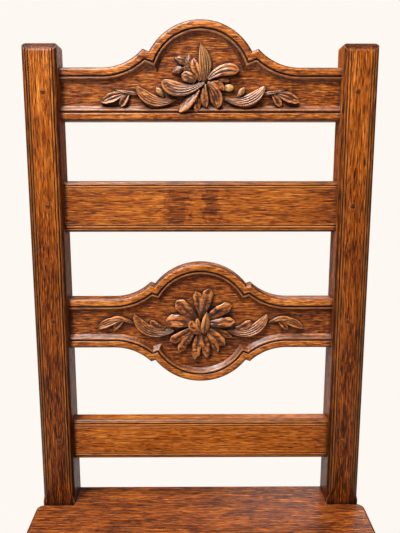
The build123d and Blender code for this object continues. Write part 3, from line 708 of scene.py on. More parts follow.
def settle(piece: bpy.types.Object, slot: str, *nodes: str) -> None:
    """Puts a finished piece on the chair.

    Args:
        piece: The piece.
        slot: Not used.
        nodes: CAD nodes that the piece stands for.
    """
    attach(piece, BODY)
    if nodes:
        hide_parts(*nodes)
    LOG.info("%s: %d faces", piece.name, len(piece.data.polygons))


def dress(finish: OakFinish | SteelFinish, *nodes: str) -> None:
    """Gives members of the frame one finish.

    Args:
        finish: The finish.
        nodes: Names of the CAD nodes.
    """
    material = finish.material()
    for member in (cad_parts[node] for node in nodes):
        if not member.material_slots:
            member.data.materials.append(material)
        for place in member.material_slots:
            place.material = material
        LOG.info("%s: %s", member.name, material.name)


def corners(node: str) -> np.ndarray:
    """The points of a CAD node.

    Args:
        node: Name of the node.

    Returns:
        Rows of X, Y and Z in millimetres.
    """
    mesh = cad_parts[node].data
    flat = np.zeros(len(mesh.vertices) * 3)
    mesh.vertices.foreach_get("co", flat)
    return flat.reshape(-1, 3) / MM


def front_of(node: str, above: float = 0.0) -> float:
    """How far out the front of a member of the back is, in millimetres.

    Args:
        node: Name of the CAD node.
        above: Height that the member is looked at above.

    Returns:
        The distance along the way that the back faces.
    """
    points = corners(node)
    return float((points[points[:, 2] > above] @ OUT).max())


# ---- carving


@dataclass(frozen=True)
class Leaf:
    """One carved leaf or petal: a bent blade with a rounded or dished face and cut flutes.

    base, waist and tip are places on the rail that its middle line runs through. The lifts are
    heights of that line above the ground at those places. Its greatest width is at a share of
    its length; root is the width at the base against that, and blunt how round its tip is. The
    fringe is how far its fingers stand out at the tip, and the scallop how deep its edge is
    notched. The patina is from -1 for near-black wood to 1 for bare wood, and sunk is how much
    wax and painted shade darken the base.
    """

    base: Point
    waist: Point
    tip: Point
    width: float
    widest: float = 0.55
    root: float = 0.4
    blunt: float = 0.5
    lifts: tuple[float, float, float] = (2.0, 3.6, 2.4)
    dish: float = 0.8
    tilt: float = 0.0
    flutes: int = 2
    cut: float = 0.5
    seed: float = 0.0
    fringe: float = 0.0
    scallop: float = 0.0
    patina: float = 0.0
    sunk: float = 0.5
    rows: int = 34
    columns: int = 29

    bury = 0.6  # how far its foot goes into the ground
    undercut = 0.60  # width of the foot as a share of the blade's
    lip = 1.4  # thickness of its edge
    thinnest = 0.35  # least height of its face
    narrowest = 0.06  # least width, as a share of the greatest
    depth = 1.75  # relief, against the lifts
    modelling = 2.2  # depth of the dish, tilt and flutes, against their figures
    level = 0.4  # share of the dish that is below its middle height
    edge = (0.8, 0.2)  # place across at which the edge starts to roll over, and its reach
    roll = 0.55  # how far it rolls
    flute_width = 0.50  # of the space between flutes
    knife = ((0.14, 7.1, 3.0, 5.0), (0.09, 17.0, -6.0, 3.0))  # height, along, across, by seed
    notches = 3.5  # half waves of a scalloped edge
    plain = 0.62  # how proud a level place is
    shades = (0.10, 0.70, 0.15, 0.9, 0.06)  # changed by side, flute, edge, knife and height

    def _run(self, share: np.ndarray) -> tuple[np.ndarray, np.ndarray]:
        """Middle line and its left-hand direction.

        Args:
            share: Shares of the length, from base to tip.

        Returns:
            Places and directions, one row for each share.
        """
        base, waist, tip = (np.array(p) for p in (self.base, self.waist, self.tip))
        pull = 2 * waist - (base + tip) / 2
        t = share[:, None]
        line = (1 - t) ** 2 * base + 2 * t * (1 - t) * pull + t**2 * tip
        way = 2 * (1 - t) * (pull - base) + 2 * t * (tip - pull)
        way /= np.linalg.norm(way, axis=1)[:, None]
        return line, np.stack([-way[:, 1], way[:, 0]], axis=1)

    def _half_width(self, share: np.ndarray) -> np.ndarray:
        """Half the blade's width.

        Args:
            share: Shares of the length, from base to tip.

        Returns:
            A width for each share.
        """
        swell = np.sin(np.pi / 2 * np.clip(share / self.widest, 0, 1))
        rise = self.root + (1 - self.root) * swell
        past = np.clip((share - self.widest) / (1 - self.widest), 0, 1)
        fall = np.maximum(1 - past**2, 0.0) ** self.blunt
        whole = np.where(share < self.widest, rise, np.maximum(fall, self.narrowest))
        wave = np.sin(self.notches * np.pi * share) ** 2
        notch = self.scallop * wave * np.clip(2 * share - 0.7, 0, 1)
        return self.width / 2 * whole * (1 - notch)

    def _face(self, share: np.ndarray, side: np.ndarray) -> tuple[np.ndarray, np.ndarray]:
        """Heights over the blade and how proud each place is.

        Args:
            share: Shares of the length, a column.
            side: Places across, from -1 to 1, a row.

        Returns:
            Heights above the ground, and a number from 0 in a cut to 1 on a ridge.
        """
        low, middle, high = (lift * self.depth for lift in self.lifts)
        ridge = (
            low * (1 - share) * (1 - 2 * share)
            + 4 * middle * share * (1 - share)
            + high * share * (2 * share - 1)
        )
        body = ridge + (self.dish * (side**2 - self.level) + self.tilt * side) * self.modelling
        roll = np.clip((np.abs(side) - self.edge[0]) / self.edge[1], 0, 1) ** 2
        strength = np.clip(np.sin(np.pi * np.clip(share * 0.92 + 0.06, 0, 1)), 0, 1) ** 0.7
        cuts = np.zeros_like(body)
        spread = self.flute_width / (self.flutes + 1)
        for number in range(1, self.flutes + 1):
            middle_of_cut = -1 + 2 * number / (self.flutes + 1)
            cuts += np.exp(-(((side - middle_of_cut) / spread) ** 2)) * strength
        wobble = sum(
            rise * np.sin(along * share + across * side + turn * self.seed)
            for rise, along, across, turn in self.knife
        )
        height = body - self.cut * self.modelling * cuts - self.roll * roll + wobble
        # The proud number sets the colour: low in flutes, under the lip and at the base, where the
        # material puts wax and painted shade; high on ridges, where it gives worn colour.
        aside, fluted, rolled, knifed, raised = self.shades
        deep = min(1.0, self.cut * 2)
        proud = self.plain + aside * np.abs(side) - fluted * cuts * deep - rolled * roll
        proud = proud + knifed * wobble + raised * (ridge - 3.0) - self.sunk * (1 - share) ** 2
        return height, np.clip(proud, 0, 1)

    def blade(self) -> tuple[np.ndarray, list[tuple[int, ...]], np.ndarray]:
        """The closed blade.

        Returns:
            Places on the rail, faces, and how proud each point is.
        """
        share = (1 - np.cos(np.linspace(0, np.pi, self.rows))) / 2
        side = np.sin(np.linspace(-1, 1, self.columns) * np.pi / 2)
        line, left = self._run(share)
        half = self._half_width(share)
        heights, proud = self._face(share[:, None], side[None, :])
        heights = np.maximum(heights, self.thinnest)
        rims = (heights[:, [-1, 0]] - self.lip).clip(-self.bury + 0.1)
        under = np.full((self.rows, 2), -self.bury)
        reach = np.concatenate([side, (1.0, self.undercut, -self.undercut, -1.0)])
        tall = np.concatenate([heights, rims[:, :1], under, rims[:, 1:]], axis=1)
        flat = line[:, None, :] + left[:, None, :] * (half[:, None] * reach[None, :])[:, :, None]
        fingers = np.sin(np.pi * (self.flutes + 1) * (reach + 1) / 2) ** 2
        push = self.fringe * share[:, None] ** 6 * fingers[None, :]
        forward = np.stack([left[:, 1], -left[:, 0]], axis=1)
        flat = flat + forward[:, None, :] * push[:, :, None]
        spots = np.concatenate([flat, tall[:, :, None]], axis=2).reshape(-1, 3)
        shades = np.concatenate([proud, np.zeros((self.rows, 4))], axis=1).reshape(-1)
        ring = self.columns + 4
        faces: list[tuple[int, ...]] = [tuple(range(ring))]
        faces.append(tuple(reversed(range((self.rows - 1) * ring, self.rows * ring))))
        for row in range(self.rows - 1):
            for step in range(ring):
                a, b = row * ring + step, row * ring + (step + 1) % ring
                faces.append((a, a + ring, b + ring, b))
        return spots, faces, shades

    def mirrored(self) -> "Leaf":
        """The same leaf on the other side of the chair's middle."""
        base, waist, tip = ((-x, y) for x, y in (self.base, self.waist, self.tip))
        return replace(self, base=base, waist=waist, tip=tip, tilt=-self.tilt)


@dataclass
class Spray:
    """Carved leaves and petals on the sunk ground of one rail.

    Places on it are millimetres across from the chair's middle, up from the middle of the
    rail's height or from its lower edge, and out from the ground.
    """

    name: str
    rail: str
    field_depth: float
    from_middle: bool
    leaves: Sequence[Leaf]

    def build(self, finish: OakFinish) -> None:
        """Carves the spray.

        Args:
            finish: Its finish.
        """
        rail = corners(self.rail)
        low, high = (rail @ UP).min(), (rail @ UP).max()
        datum = (low + high) / 2 if self.from_middle else low
        ground = (rail @ OUT).max() - self.field_depth
        points: list[np.ndarray] = []
        faces: list[tuple[int, ...]] = []
        layers: dict[str, list[np.ndarray]] = {"proud": [], "patina": []}
        count = 0
        for leaf in self.leaves:
            spots, sides, proud = leaf.blade()
            across, up, out = spots[:, 0:1], spots[:, 1:2], spots[:, 2:3]
            points.append((across * ACROSS + (up + datum) * UP + (out + ground) * OUT) * MM)
            faces.extend(tuple(count + corner for corner in side) for side in sides)
            layers["proud"].append(proud)
            layers["patina"].append(np.full(len(spots), leaf.patina))
            count += len(spots)
        piece = make_piece(self.name, np.concatenate(points), faces, finish.material())
        for name, values in layers.items():
            layer = piece.data.attributes.new(name, "FLOAT", "POINT")
            layer.data.foreach_set("value", np.concatenate(values))
        settle(piece, "oak_rails")


def crest_leaves() -> list[Leaf]:
    """The flower of the crest, its bud, and a scroll and a sprig at each side.

    Returns:
        Its leaves and petals.
    """
    scroll = Leaf((-30.0, 26.8), (-55.5, 23.7), (-76.0, 39.0), 13.6, 0.66, 0.30, 0.5,
                  (1.6, 3.4, 3.0), -0.9, 1.0, 4, 0.65, fringe=2.4)
    under_scroll = Leaf((-31.0, 25.8), (-51.0, 19.2), (-68.0, 21.6), 6.0, 0.5, 0.4, 0.7,
                        (1.2, 2.2, 1.2), 0.3, 0.0, 1, 0.3)
    scroll_lobe = Leaf((-44.5, 28.2), (-49.0, 33.7), (-53.5, 39.0), 7.2, 0.6, 0.4, 0.5,
                       (1.6, 2.6, 1.8), -0.7, 0.0, 0, 0.0, patina=0.2)
    stem = Leaf((-76.0, 31.8), (-87.0, 33.4), (-104.5, 37.0), 4.4, 0.25, 0.5, 0.9,
                (1.3, 2.2, 1.0), -0.3, 0.0, 1, 0.3)
    sprig = Leaf((-93.0, 32.2), (-107.0, 27.6), (-119.0, 22.2), 11.8, 0.5, 0.3, 0.55,
                 (1.5, 2.9, 2.0), 0.6, 0.3, 2, 0.6, fringe=2.0, scallop=0.14)
    sprig_lobe = Leaf((-87.0, 31.7), (-92.6, 24.2), (-97.4, 17.2), 8.4, 0.6, 0.35, 0.6,
                      (1.4, 2.4, 1.6), 0.7, 0.0, 1, 0.5)
    sides = [under_scroll, scroll, scroll_lobe, stem, sprig, sprig_lobe]
    flower = [
        Leaf((-17.5, 66.5), (-24.0, 71.2), (-31.5, 74.0), 9.4, 0.35, 0.5, 0.95,
             (1.8, 2.2, 1.4), -0.9, 0.5, 1, 0.4, 1.0, patina=-0.45),
        Leaf((-13.5, 63.0), (-14.2, 69.5), (-14.0, 78.0), 9.4, 0.5, 0.5, 0.9,
             (2.0, 2.2, 1.2), -0.9, -0.3, 0, 0.0, 2.0, patina=-0.55),
        Leaf((-21.0, 61.0), (-27.0, 60.0), (-34.5, 56.5), 9.0, 0.5, 0.5, 0.8,
             (2.0, 2.4, 1.2), -0.9, 0.4, 0, 0.0, 3.0, patina=-0.5),
        Leaf((-12.0, 54.2), (-15.5, 59.7), (-19.0, 65.2), 12.0, 0.5, 0.6, 0.5,
             (2.0, 2.2, 1.4), -0.6, 0.0, 4, 0.5, 4.0, patina=-0.65),
        Leaf((8.5, 45.4), (19.5, 43.4), (29.0, 36.0), 9.8, 0.6, 0.35, 0.5,
             (2.2, 3.2, 2.4), -0.7, -0.6, 1, 0.3, 5.0),
        Leaf((20.0, 48.2), (28.0, 48.4), (34.6, 46.8), 6.4, 0.6, 0.5, 0.5,
             (1.6, 2.2, 1.6), -0.4, 0.0, 0, 0.0, 6.0, patina=-0.25),
        Leaf((29.6, 38.8), (34.6, 39.1), (40.0, 38.6), 8.4, 0.5, 0.75, 0.5,
             (1.8, 2.6, 1.8), -0.5, 0.0, 0, 0.0, 7.0, patina=0.8),
        Leaf((-2.8, 31.2), (-3.6, 20.4), (-4.2, 10.4), 9.8, 0.70, 0.4, 0.5,
             (2.2, 3.2, 2.4), -0.7, -0.6, 1, 0.3, 8.0),
        Leaf((-2.2, 36.7), (-13.2, 24.0), (-26.4, 10.8), 12.6, 0.68, 0.35, 0.6,
             (3.0, 3.8, 2.6), -0.9, 1.5, 1, 0.3, 9.0, patina=0.08),
        Leaf((7.5, 43.2), (17.0, 31.0), (20.4, 16.4), 15.4, 0.62, 0.35, 0.42,
             (3.0, 3.8, 2.6), -1.0, 1.2, 3, 0.6, 10.0, fringe=1.5),
        Leaf((4.8, 43.2), (3.6, 30.2), (6.8, 16.0), 10.6, 0.6, 0.35, 0.55,
             (3.2, 4.0, 2.6), -0.8, 1.2, 1, 0.35, 11.0, patina=0.06),
        Leaf((9.0, 48.6), (26.5, 58.8), (45.0, 58.4), 14.2, 0.70, 0.3, 0.42,
             (3.4, 4.4, 3.8), -0.6, -0.3, 2, 0.5, 12.0, fringe=1.2, patina=-0.12),
        Leaf((4.2, 45.6), (5.4, 67.2), (-0.6, 91.4), 15.0, 0.50, 0.36, 1.15,
             (3.0, 4.2, 2.4), -0.9, 1.1, 4, 0.8, 13.0, patina=0.24),
        Leaf((-0.2, 46.7), (-6.0, 60.2), (-8.8, 72.6), 10.4, 0.6, 0.45, 0.6,
             (3.6, 4.4, 2.8), -0.6, -0.6, 1, 0.45, 14.0),
        Leaf((4.0, 45.6), (-23.5, 36.8), (-44.6, 46.6), 17.6, 0.70, 0.3, 0.40,
             (3.4, 4.4, 3.8), -1.1, 1.4, 4, 0.6, 16.0, fringe=1.2, patina=-0.34),
        Leaf((-6.0, 46.2), (-13.4, 50.4), (-23.0, 53.4), 12.0, 0.66, 0.6, 0.5,
             (3.8, 4.4, 3.4), -0.6, -0.3, 2, 0.3, 15.0, patina=-0.70),
    ]
    return [*sides, *(leaf.mirrored() for leaf in sides), *flower]


def middle_leaves() -> list[Leaf]:
    """The open flower of the middle rail, its bud, and a scroll and a sprig at each side.

    Returns:
        Its leaves and petals.
    """
    scroll = Leaf((-35.0, -8.6), (-64.0, -10.5), (-85.2, 9.8), 13.4, 0.66, 0.28, 0.5,
                  (1.6, 3.0, 2.8), -0.6, 0.9, 4, 0.7, fringe=2.4)
    volute = Leaf((-46.0, -6.6), (-57.0, -4.0), (-64.5, 3.6), 10.2, 0.66, 0.4, 0.5,
                  (1.6, 2.4, 1.8), -0.3, 0.0, 1, 0.3, patina=-0.15)
    arch = Leaf((-87.0, -0.6), (-104.5, 6.4), (-119.5, 3.0), 7.0, 0.55, 0.35, 0.6,
                (1.3, 2.8, 2.2), -0.4, 0.0, 1, 0.3)
    sprig = Leaf((-104.0, 5.4), (-119.0, 1.6), (-131.4, -5.4), 10.4, 0.55, 0.4, 0.55,
                 (2.0, 2.8, 2.0), 0.4, 0.3, 3, 0.6, fringe=2.6)
    sprig_lobe = Leaf((-99.0, 4.0), (-107.0, -1.6), (-113.2, -9.6), 7.2, 0.55, 0.35, 0.7,
                      (1.4, 2.2, 1.2), 0.4, 0.0, 1, 0.4)
    sides = [scroll, volute, sprig_lobe, arch, sprig]
    petal = Leaf((0.0, 0.0), (0.0, 0.0), (0.0, 0.0), 0.0, 0.74, 0.22, 0.5, dish=-0.5, flutes=1,
                 cut=0.4, fringe=1.0, scallop=0.18, sunk=1.0)
    tips = [  # tip, width and lift of each petal, from the lowest
        ((39.9, -18.2), 8.5, 1.8), ((22.2, -38.8), 8.5, 1.8), ((-27.6, -38.0), 10.4, 2.6),
        ((8.8, -45.2), 10.6, 2.8), ((-8.1, -47.2), 10.8, 3.2), ((31.0, -28.0), 13.8, 3.2),
        ((-39.6, -23.4), 11.4, 3.0), ((43.4, 3.2), 11.2, 3.4), ((-44.0, 4.4), 14.6, 3.4),
        ((39.6, 24.4), 13.0, 3.2), ((-5.6, 42.2), 11.0, 2.8), ((-30.8, 30.0), 15.0, 3.2),
        ((12.0, 45.8), 13.2, 3.4),
    ]
    near, halfway = 0.12, 0.56  # places of a petal's base and waist on the way to its tip
    petals = []
    for number, (tip, width, lift) in enumerate(tips):
        sway = 0.035 * math.sin(2.3 * number)  # how far the petal bends aside
        tilt = 0.7 * math.sin(1.7 * number)
        base = (near * tip[0], near * tip[1] - 0.4)
        waist = (halfway * tip[0] - sway * tip[1], halfway * tip[1] + sway * tip[0])
        petals.append(replace(petal, base=base, waist=waist, tip=tip, width=width * 1.2,
                              lifts=(1.2, lift * 1.1, lift * 0.9), tilt=tilt, seed=float(number)))
    bud = [
        Leaf((1.5, -11.5), (-8.0, -6.0), (-12.5, 4.0), 13.0, 0.5, 0.6, 0.5,
             (3.0, 4.4, 3.2), -1.3, 0.4, 1, 0.4, 21.0),
        Leaf((2.0, -10.5), (-3.0, -2.0), (-3.6, 7.0), 8.0, 0.5, 0.6, 0.5,
             (3.6, 4.9, 3.8), -1.0, 0.0, 1, 0.5, 22.0),
        Leaf((4.6, -12.5), (6.4, 0.0), (8.0, 15.6), 11.6, 0.45, 0.5, 0.8,
             (3.8, 5.4, 3.6), -1.2, 0.9, 1, 0.5, 23.0, patina=0.22),
    ]
    return [*sides, *(leaf.mirrored() for leaf in sides), *petals, *bud]


# ---- fastenings


@dataclass(frozen=True)
class Stick:
    """A peg of the frame: the middle of its outer end, and the way that end faces."""

    head: np.ndarray
    facing: np.ndarray
    length: float


def sticks(node: str) -> list[Stick]:
    """Finds the pegs of a CAD node.

    Args:
        node: Name of the node.

    Returns:
        One entry for each separate solid.
    """
    points = corners(node)
    _, same = np.unique(points.round(3), axis=0, return_inverse=True)
    same = same.reshape(-1)
    facets = same[[tuple(facet.vertices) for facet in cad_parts[node].data.polygons]]
    owner, before = np.arange(same.max() + 1), None
    while before is None or (owner != before).any():
        before = owner.copy()
        np.minimum.at(owner, facets, owner[facets].min(axis=1, keepdims=True))
    groups = owner[same]
    found = []
    for group in np.unique(groups):
        cloud = points[groups == group]
        middle = (cloud.min(0) + cloud.max(0)) / 2
        way = np.linalg.svd(cloud - cloud.mean(0), full_matrices=False)[2][0]
        along = (cloud - middle) @ way
        ends = []
        for sign in (-1, 1):
            top = (along * sign).max()
            centre = middle + way * sign * top
            rim = cloud[along * sign > top - END_SLACK]
            ends.append((np.linalg.norm(rim - centre, axis=1).max(), sign, centre))
        _, sign, centre = min(ends, key=lambda entry: entry[0])
        found.append(Stick(centre, way * sign, np.ptp(along)))
    return found


@dataclass
class PegTree:
    """A Geometry Nodes tree that sets a whittled peg on each point, facing along its arrow.

    A peg has ten sides, a tapering shoulder and a low head rounded by wear.
    """

    sizes: Mapping[str, float]
    seed: int

    sides = 10
    shoulder = (0.65, 0.86)  # share of the dome's height, and width against the shaft
    crown = (0.35, 0.55)  # share of the dome's height, and width against the shoulder

    def _peg(self, bench: Bench, size: Mapping[str, Wire]) -> Wire:
        """The peg, with the foot of its dome at the origin and facing up Z.

        Args:
            bench: The tree.
            size: The tree's inputs.

        Returns:
            Its mesh.
        """
        values = {"Vertices": self.sides, "Radius": size["Radius"], "Depth": size["Length"]}
        peg = bench.node("GeometryNodeMeshCylinder", None, values)
        top = peg.other("Top")
        drop = (size["Length"] * 0.5 + size["Dome"]) * -1.0
        down = bench.node("ShaderNodeCombineXYZ", None, {2: drop})
        peg = bench.node("GeometryNodeTransform", None, {"Geometry": peg, "Translation": down})
        for share, width in (self.shoulder, self.crown):
            values = {"Mesh": peg, "Selection": top, "Offset Scale": size["Dome"] * share}
            peg = bench.node("GeometryNodeExtrudeMesh", {"mode": "FACES"}, values)
            top = peg.other("Top")
            values = {"Geometry": peg, "Selection": top, "Scale": width}
            peg = bench.node("GeometryNodeScaleElements", None, values)
        return peg

    def tree(self) -> bpy.types.NodeTree:
        """Builds the tree.

        Returns:
            The tree, with an input for each size.
        """
        made = bpy.data.node_groups.new("whittled_pegs", "GeometryNodeTree")
        kinds = {"Points": "Geometry", **dict.fromkeys(self.sizes, "Float")}
        for name, kind in (kinds | {"Seed": "Int", "Finish": "Material"}).items():
            made.interface.new_socket(name, in_out="INPUT", socket_type="NodeSocket" + kind)
        made.interface.new_socket("Pegs", in_out="OUTPUT", socket_type="NodeSocketGeometry")
        bench = Bench(made)
        given = bench.node("NodeGroupInput")
        vector = {"data_type": "FLOAT_VECTOR"}
        arrow = bench.node("GeometryNodeInputNamedAttribute", vector, {"Name": "facing"})
        aim = bench.node("FunctionNodeAlignRotationToVector", {"axis": "Z"}, {"Vector": arrow})
        values = {"Min": 0.0, 3: FULL_TURN, "Seed": given.other("Seed")}
        spin = bench.node("FunctionNodeRandomValue", {"data_type": "FLOAT"}, values, 1)
        values = {0: aim, 1: bench.node("ShaderNodeCombineXYZ", None, {"Z": spin})}
        turned = bench.node("FunctionNodeRotateRotation", {"rotation_space": "LOCAL"}, values)
        peg = self._peg(bench, {name: given.other(name) for name in self.sizes})
        values = {"Points": given.other("Points"), "Instance": peg, "Rotation": turned}
        placed = bench.node("GeometryNodeInstanceOnPoints", None, values)
        real = bench.node("GeometryNodeRealizeInstances", None, {0: placed})
        values = {"Geometry": real, "Material": given.other("Finish")}
        finished = bench.node("GeometryNodeSetMaterial", None, values)
        bench.node("NodeGroupOutput", None, {0: finished})
        return made

    def build(
        self, name: str, found: Sequence[Stick], material: bpy.types.Material
    ) -> bpy.types.Object:
        """Makes the pegs as one plain mesh.

        Args:
            name: Name of the piece.
            found: Where the pegs go.
            material: Their finish.

        Returns:
            The piece.
        """
        mesh = bpy.data.meshes.new(name + "_points")
        mesh.from_pydata([tuple(stick.head * MM) for stick in found], [], [])
        arrows = mesh.attributes.new("facing", "FLOAT_VECTOR", "POINT")
        arrows.data.foreach_set("vector", np.concatenate([stick.facing for stick in found]))
        carrier = add_object(name + "_carrier", mesh)
        modifier = carrier.modifiers.new("whittled_pegs", "NODES")
        modifier.node_group = self.tree()
        values = {key: size * MM for key, size in self.sizes.items()}
        values |= {"Seed": self.seed, "Finish": material}
        for socket in modifier.node_group.interface.items_tree:
            if socket.in_out == "INPUT" and socket.name in values:
                modifier[socket.identifier] = values[socket.name]
        graph = bpy.context.evaluated_depsgraph_get()
        made = bpy.data.meshes.new_from_object(carrier.evaluated_get(graph))
        carrier.modifiers.remove(modifier)
        bpy.data.objects.remove(carrier)
        made.name = name
        if "facing" in made.attributes:
            made.attributes.remove(made.attributes["facing"])
        return add_object(name, made)


@dataclass
class Fastenings:
    """Pegs through the joints, and the screws of the corner blocks and the seat."""

    pegged: tuple[str, ...] = (
        "crest_rail", "upper_rail", "middle_rail", "lower_rail", "front_apron", "rear_apron",
        "rear_stretcher", "side_apron", "side_stretcher",
    )
    peg_radius: float = 3.05
    peg_dome: float = 0.55
    peg_finish: OakFinish = OakFinish(
        "peg_oak", seed=9.0, tone=0.24, contrast=0.8, gloss=0.15, wear=0.2
    )
    screws: tuple[str, ...] = ("corner_block_screws", "seat_screws")

    def build(self) -> None:
        """Drives the pegs and dresses the screws."""
        material = self.peg_finish.material()
        for seed, member in enumerate(self.pegged):
            node = f"{member}_pegs"
            found = sticks(node)
            length = found[0].length - self.peg_dome
            sizes = {"Radius": self.peg_radius, "Length": length, "Dome": self.peg_dome}
            piece = PegTree(sizes, seed).build(f"{node}_whittled", found, material)
            settle(piece, "oak_pegs", node)
        dress(SteelFinish(), *self.screws)


# ---- members


@dataclass
class Posts:
    """The two raked rear posts."""

    tone: float = 0.40
    fade: float = 0.16
    shaft_height: float = 600.0  # above it only the post's shaft is met, not its foot
    # Wax with painted shade on the slopes, and painted shade on the side mouldings.
    moulding: Relief = Relief(
        0.0, (0.85, 1.5), (4.4, 7.0), slope_wax_and_shade=0.22, polish_and_painted_highlight=0.0, dull=0.0, painted_flank_shade=0.24
    )

    def build(self) -> None:
        """Dresses both posts."""
        for seed, side in enumerate(SIDES, 1):
            node = f"rear_post_{side}"
            front, middle = front_of(node, self.shaft_height), corners(node)[:, 0].mean()
            finish = OakFinish(
                f"post_oak_{side}", Run.UPRIGHT, LEAN, float(seed), self.tone, fade=self.fade,
                gloss=0.22, polish=0.04, wear=0.3, wax_and_shade=0.55,
                relief=replace(self.moulding, front=front, middle=middle),
            )
            dress(finish, node)


@dataclass
class BackRails:
    """The crest, two plain rails and the carved middle rail, with the carving."""

    field_depth: float = 4.5
    # Polish with a painted highlight where proud, and wax with painted shade on the slopes below.
    border: Relief = Relief(0.0, polish_and_painted_highlight=0.14, dull=0.0)
    plain_edge: Relief = Relief(0.0, (0.85, 1.3), (4.4, 7.0), polish_and_painted_highlight=0.0)
    # The rails get a painted sheen on faces turned towards the key lamp.
    rail: OakFinish = OakFinish(
        "crest_oak", Run.ACROSS, LEAN, 3.0, 0.48, 1.25, tooling=2.4, wax_and_shade_reach=6.5,
        painted_sheen=0.3, dust_and_sheen=0.9, mottle=0.8, streak=Mark(16.0, 0.8, rough=0.55), wear=0.3,
    )
    plain: OakFinish = OakFinish(
        "upper_rail_oak", Run.ACROSS, LEAN, 5.0, 0.58, 0.9, ends=175.0,
        stains=((-27.0, 17.0), (13.0, 12.0)),
    )
    # The carving gets a stronger painted sheen on faces turned towards the key lamp.
    carving: OakFinish = OakFinish(
        "carved_oak", Run.ACROSS, LEAN, 7.0, 0.47, wear=0.85,
        gloss=0.6, polish=0.3, wax_and_shade_reach=4.5, wax_and_shade=0.8, painted_sheen=0.62, mottle=2.2, carved=True,
    )

    def build(self) -> None:
        """Dresses the rails and carves the sprays."""
        middle = replace(self.rail, name="middle_rail_oak", seed=4.0, tone=0.50)
        lower = replace(
            self.plain, name="lower_rail_oak", seed=6.0, tone=0.66, contrast=0.75, stains=()
        )
        for node, finish, face in (
            ("crest_rail", self.rail, self.border),
            ("carved_middle_rail", middle, replace(self.border, polish_and_painted_highlight=0.18, dull=0.03)),
            ("upper_plain_rail", self.plain, self.plain_edge),
            ("lower_plain_rail", lower, self.plain_edge),
        ):
            dress(replace(finish, relief=replace(face, front=front_of(node))), node)
        # The middle carving gets a weaker painted sheen.
        daisy = replace(self.carving, name="middle_carved_oak", seed=8.0, tone=0.43, painted_sheen=0.35)
        for name, rail, from_middle, leaves, finish in (
            ("crest_spray", "crest_rail", False, crest_leaves(), self.carving),
            ("middle_spray", "carved_middle_rail", True, middle_leaves(), daisy),
        ):
            Spray(name, rail, self.field_depth, from_middle, leaves).build(finish)


@dataclass
class PlankSeat:
    """The three seat boards and the dowels that join them."""

    board: OakFinish = OakFinish(
        "seat_oak", Run.ACROSS, tone=0.36, contrast=1.1, streak=Mark(40.0, 1.1, rough=0.55),
        polish=0.25, wear=0.3,
    )

    def build(self) -> None:
        """Dresses the boards."""
        for seed, place in enumerate(("rear", "middle", "front"), 11):
            finish = replace(self.board, name=f"seat_oak_{place}", seed=float(seed))
            dress(finish, f"seat_board_{place}")
        dress(OakFinish("dowel_oak", Run.DEEP, seed=14.0), "seat_joint_dowels")


@dataclass
class Underframe:
    """Front legs, aprons, stretchers and corner blocks."""

    tone: float = 0.46
    block_wood: OakPalette = OakPalette(
        pore=paint(96, 62, 34), dark=paint(140, 98, 58), middle=paint(176, 132, 84),
        bright=paint(196, 154, 104), pale=paint(212, 174, 126), wax_and_shade=paint(70, 44, 26),
        worn=paint(214, 180, 134),
    )

    def build(self) -> None:
        """Dresses the underframe."""
        deep = [f"side_{kind}_{side}" for kind in ("apron", "stretcher") for side in SIDES]
        members = {
            **dict.fromkeys((f"front_leg_{side}" for side in SIDES), Run.UPRIGHT),
            **dict.fromkeys(("front_apron", "rear_apron"), Run.ACROSS),
            **dict.fromkeys(deep, Run.DEEP),
            **dict.fromkeys(("cross_stretcher", "rear_stretcher"), Run.ACROSS),
        }
        for seed, (node, run) in enumerate(members.items(), 20):
            dress(OakFinish(f"{node}_oak", run, seed=float(seed), tone=self.tone), node)
        blocks = {
            "front_right": Run.CORNER_RIGHT,
            "front_left": Run.CORNER_LEFT,
            "rear_right": Run.CORNER_LEFT,
            "rear_left": Run.CORNER_RIGHT,
        }
        for seed, (corner, run) in enumerate(blocks.items(), 40):
            finish = OakFinish(
                f"block_wood_{corner}", run, seed=float(seed), contrast=0.6, polish=0.0,
                palette=self.block_wood,
            )
            dress(finish, f"corner_block_{corner}")


# ---- studio


@dataclass(frozen=True)
class Softbox:
    """A rectangular lamp that faces a place."""

    name: str
    place: tuple[float, float, float]
    aim: tuple[float, float, float]
    size: Point
    power: float

    def hang(self) -> None:
        """Adds the lamp to the scene."""
        lamp = bpy.data.lights.new(self.name, "AREA")
        lamp.shape = "RECTANGLE"
        lamp.size, lamp.size_y = self.size
        lamp.energy = self.power
        holder = add_object(self.name, lamp)
        holder.location = self.place
        way = Vector(self.aim) - Vector(self.place)
        holder.rotation_euler = way.to_track_quat("-Z", "Y").to_euler()


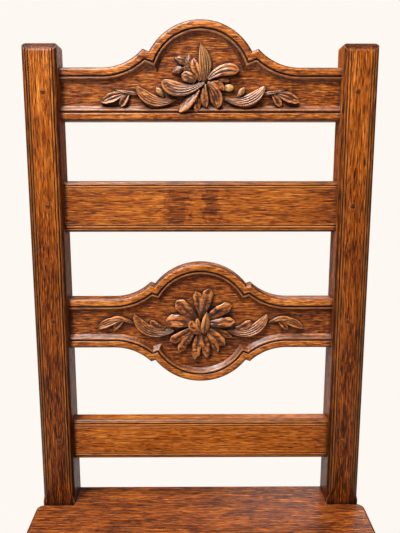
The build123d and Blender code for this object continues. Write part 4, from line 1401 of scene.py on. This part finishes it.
@dataclass
class Studio:
    """Floor, backdrop, lamps and camera."""

    ambient: float = 0.20
    glow: Colour = (1.0, 0.92, 0.82)
    dimmed: float = 0.8
    mirror: float = 0.04
    mirror_start: Point = (0.1, 0.7)
    floor_half: float = 9.0
    floor_thickness: float = 0.02
    eye: tuple[float, float, float] = (-0.005, -0.504484, 0.9346)
    pitch: float = 12.6
    yaw: float = 0.35
    focal_pixels: float = 553.0
    frame_pixels: float = 533.0
    sensor: float = 36.0
    lamps: tuple[Softbox, ...] = (
        Softbox("key_softbox", (-0.95, -0.95, 2.65), (0.0, 0.15, 0.8), (0.6, 0.4), 60.0),
        Softbox("top_softbox", (-0.25, -0.15, 2.7), (0.0, 0.15, 0.8), (0.8, 0.5), 36.0),
        Softbox("back_softbox", (0.9, 2.4, 1.8), (0.0, 0.1, 0.7), (1.4, 1.0), 8.0),
    )

    def build(self) -> None:
        """Sets up the studio."""
        self._floor()
        self._world()
        self._camera()
        bpy.context.scene.view_settings.view_transform = "Standard"
        for lamp in self.lamps:
            lamp.hang()

    def _floor(self) -> None:
        """A slab whose top is at floor level."""
        half, deep = self.floor_half, self.floor_thickness
        rim = ((-half, -half), (half, -half), (half, half), (-half, half))
        rows = [(x, y, z) for z in (-deep, 0.0) for x, y in rim]
        faces = [(3, 2, 1, 0), (4, 5, 6, 7)]
        faces += [(n, (n + 1) % 4, (n + 1) % 4 + 4, n + 4) for n in range(4)]
        floor = make_piece("floor", np.array(rows), faces, FloorFinish().material())
        floor.data.shade_flat()

    def _world(self) -> None:
        """A pale backdrop that lights the chair at a plain level."""
        world = bpy.data.worlds.new("studio")
        bpy.context.scene.world = world
        bench = shader_bench(world)
        rays = bench.node("ShaderNodeLightPath")
        way = bench.node("ShaderNodeTexCoord", output="Generated")
        depth = bench.node("ShaderNodeSeparateXYZ", None, {0: way}, 1)
        behind = bench.spread(depth, *self.mirror_start) * rays.other("Is Glossy Ray")
        seen = backdrop_share(rays, behind * self.mirror)
        values = {"Color": FloorFinish().backdrop, "Strength": 1.0}
        pale = bench.node("ShaderNodeBackground", None, values)
        level = self.ambient * (1.0 - rays.other("Is Glossy Ray") * self.dimmed)
        soft = bench.node("ShaderNodeBackground", None, {"Color": self.glow, "Strength": level})
        both = bench.node("ShaderNodeMixShader", None, {0: seen, 1: soft, 2: pale})
        bench.node("ShaderNodeOutputWorld", None, {"Surface": both})

    def _camera(self) -> None:
        """The camera, a little above the top of the back and looking down."""
        lens = bpy.data.cameras.new("camera")
        lens.sensor_width = self.sensor
        lens.lens = self.focal_pixels / self.frame_pixels * self.sensor
        lens.clip_start = 0.01
        camera = add_object("camera", lens)
        camera.location = self.eye
        camera.rotation_euler = (math.radians(90 - self.pitch), 0.0, math.radians(-self.yaw))
        bpy.context.scene.camera = camera


def main() -> None:
    """Builds the chair and the studio round it."""
    logging.basicConfig(level=logging.INFO, format="%(name)s: %(message)s")
    for part in (Studio(), Posts(), BackRails(), PlankSeat(), Underframe(), Fastenings()):
        LOG.info("building %s", type(part).__name__)
        part.build()


if __name__ == "__main__":
    main()
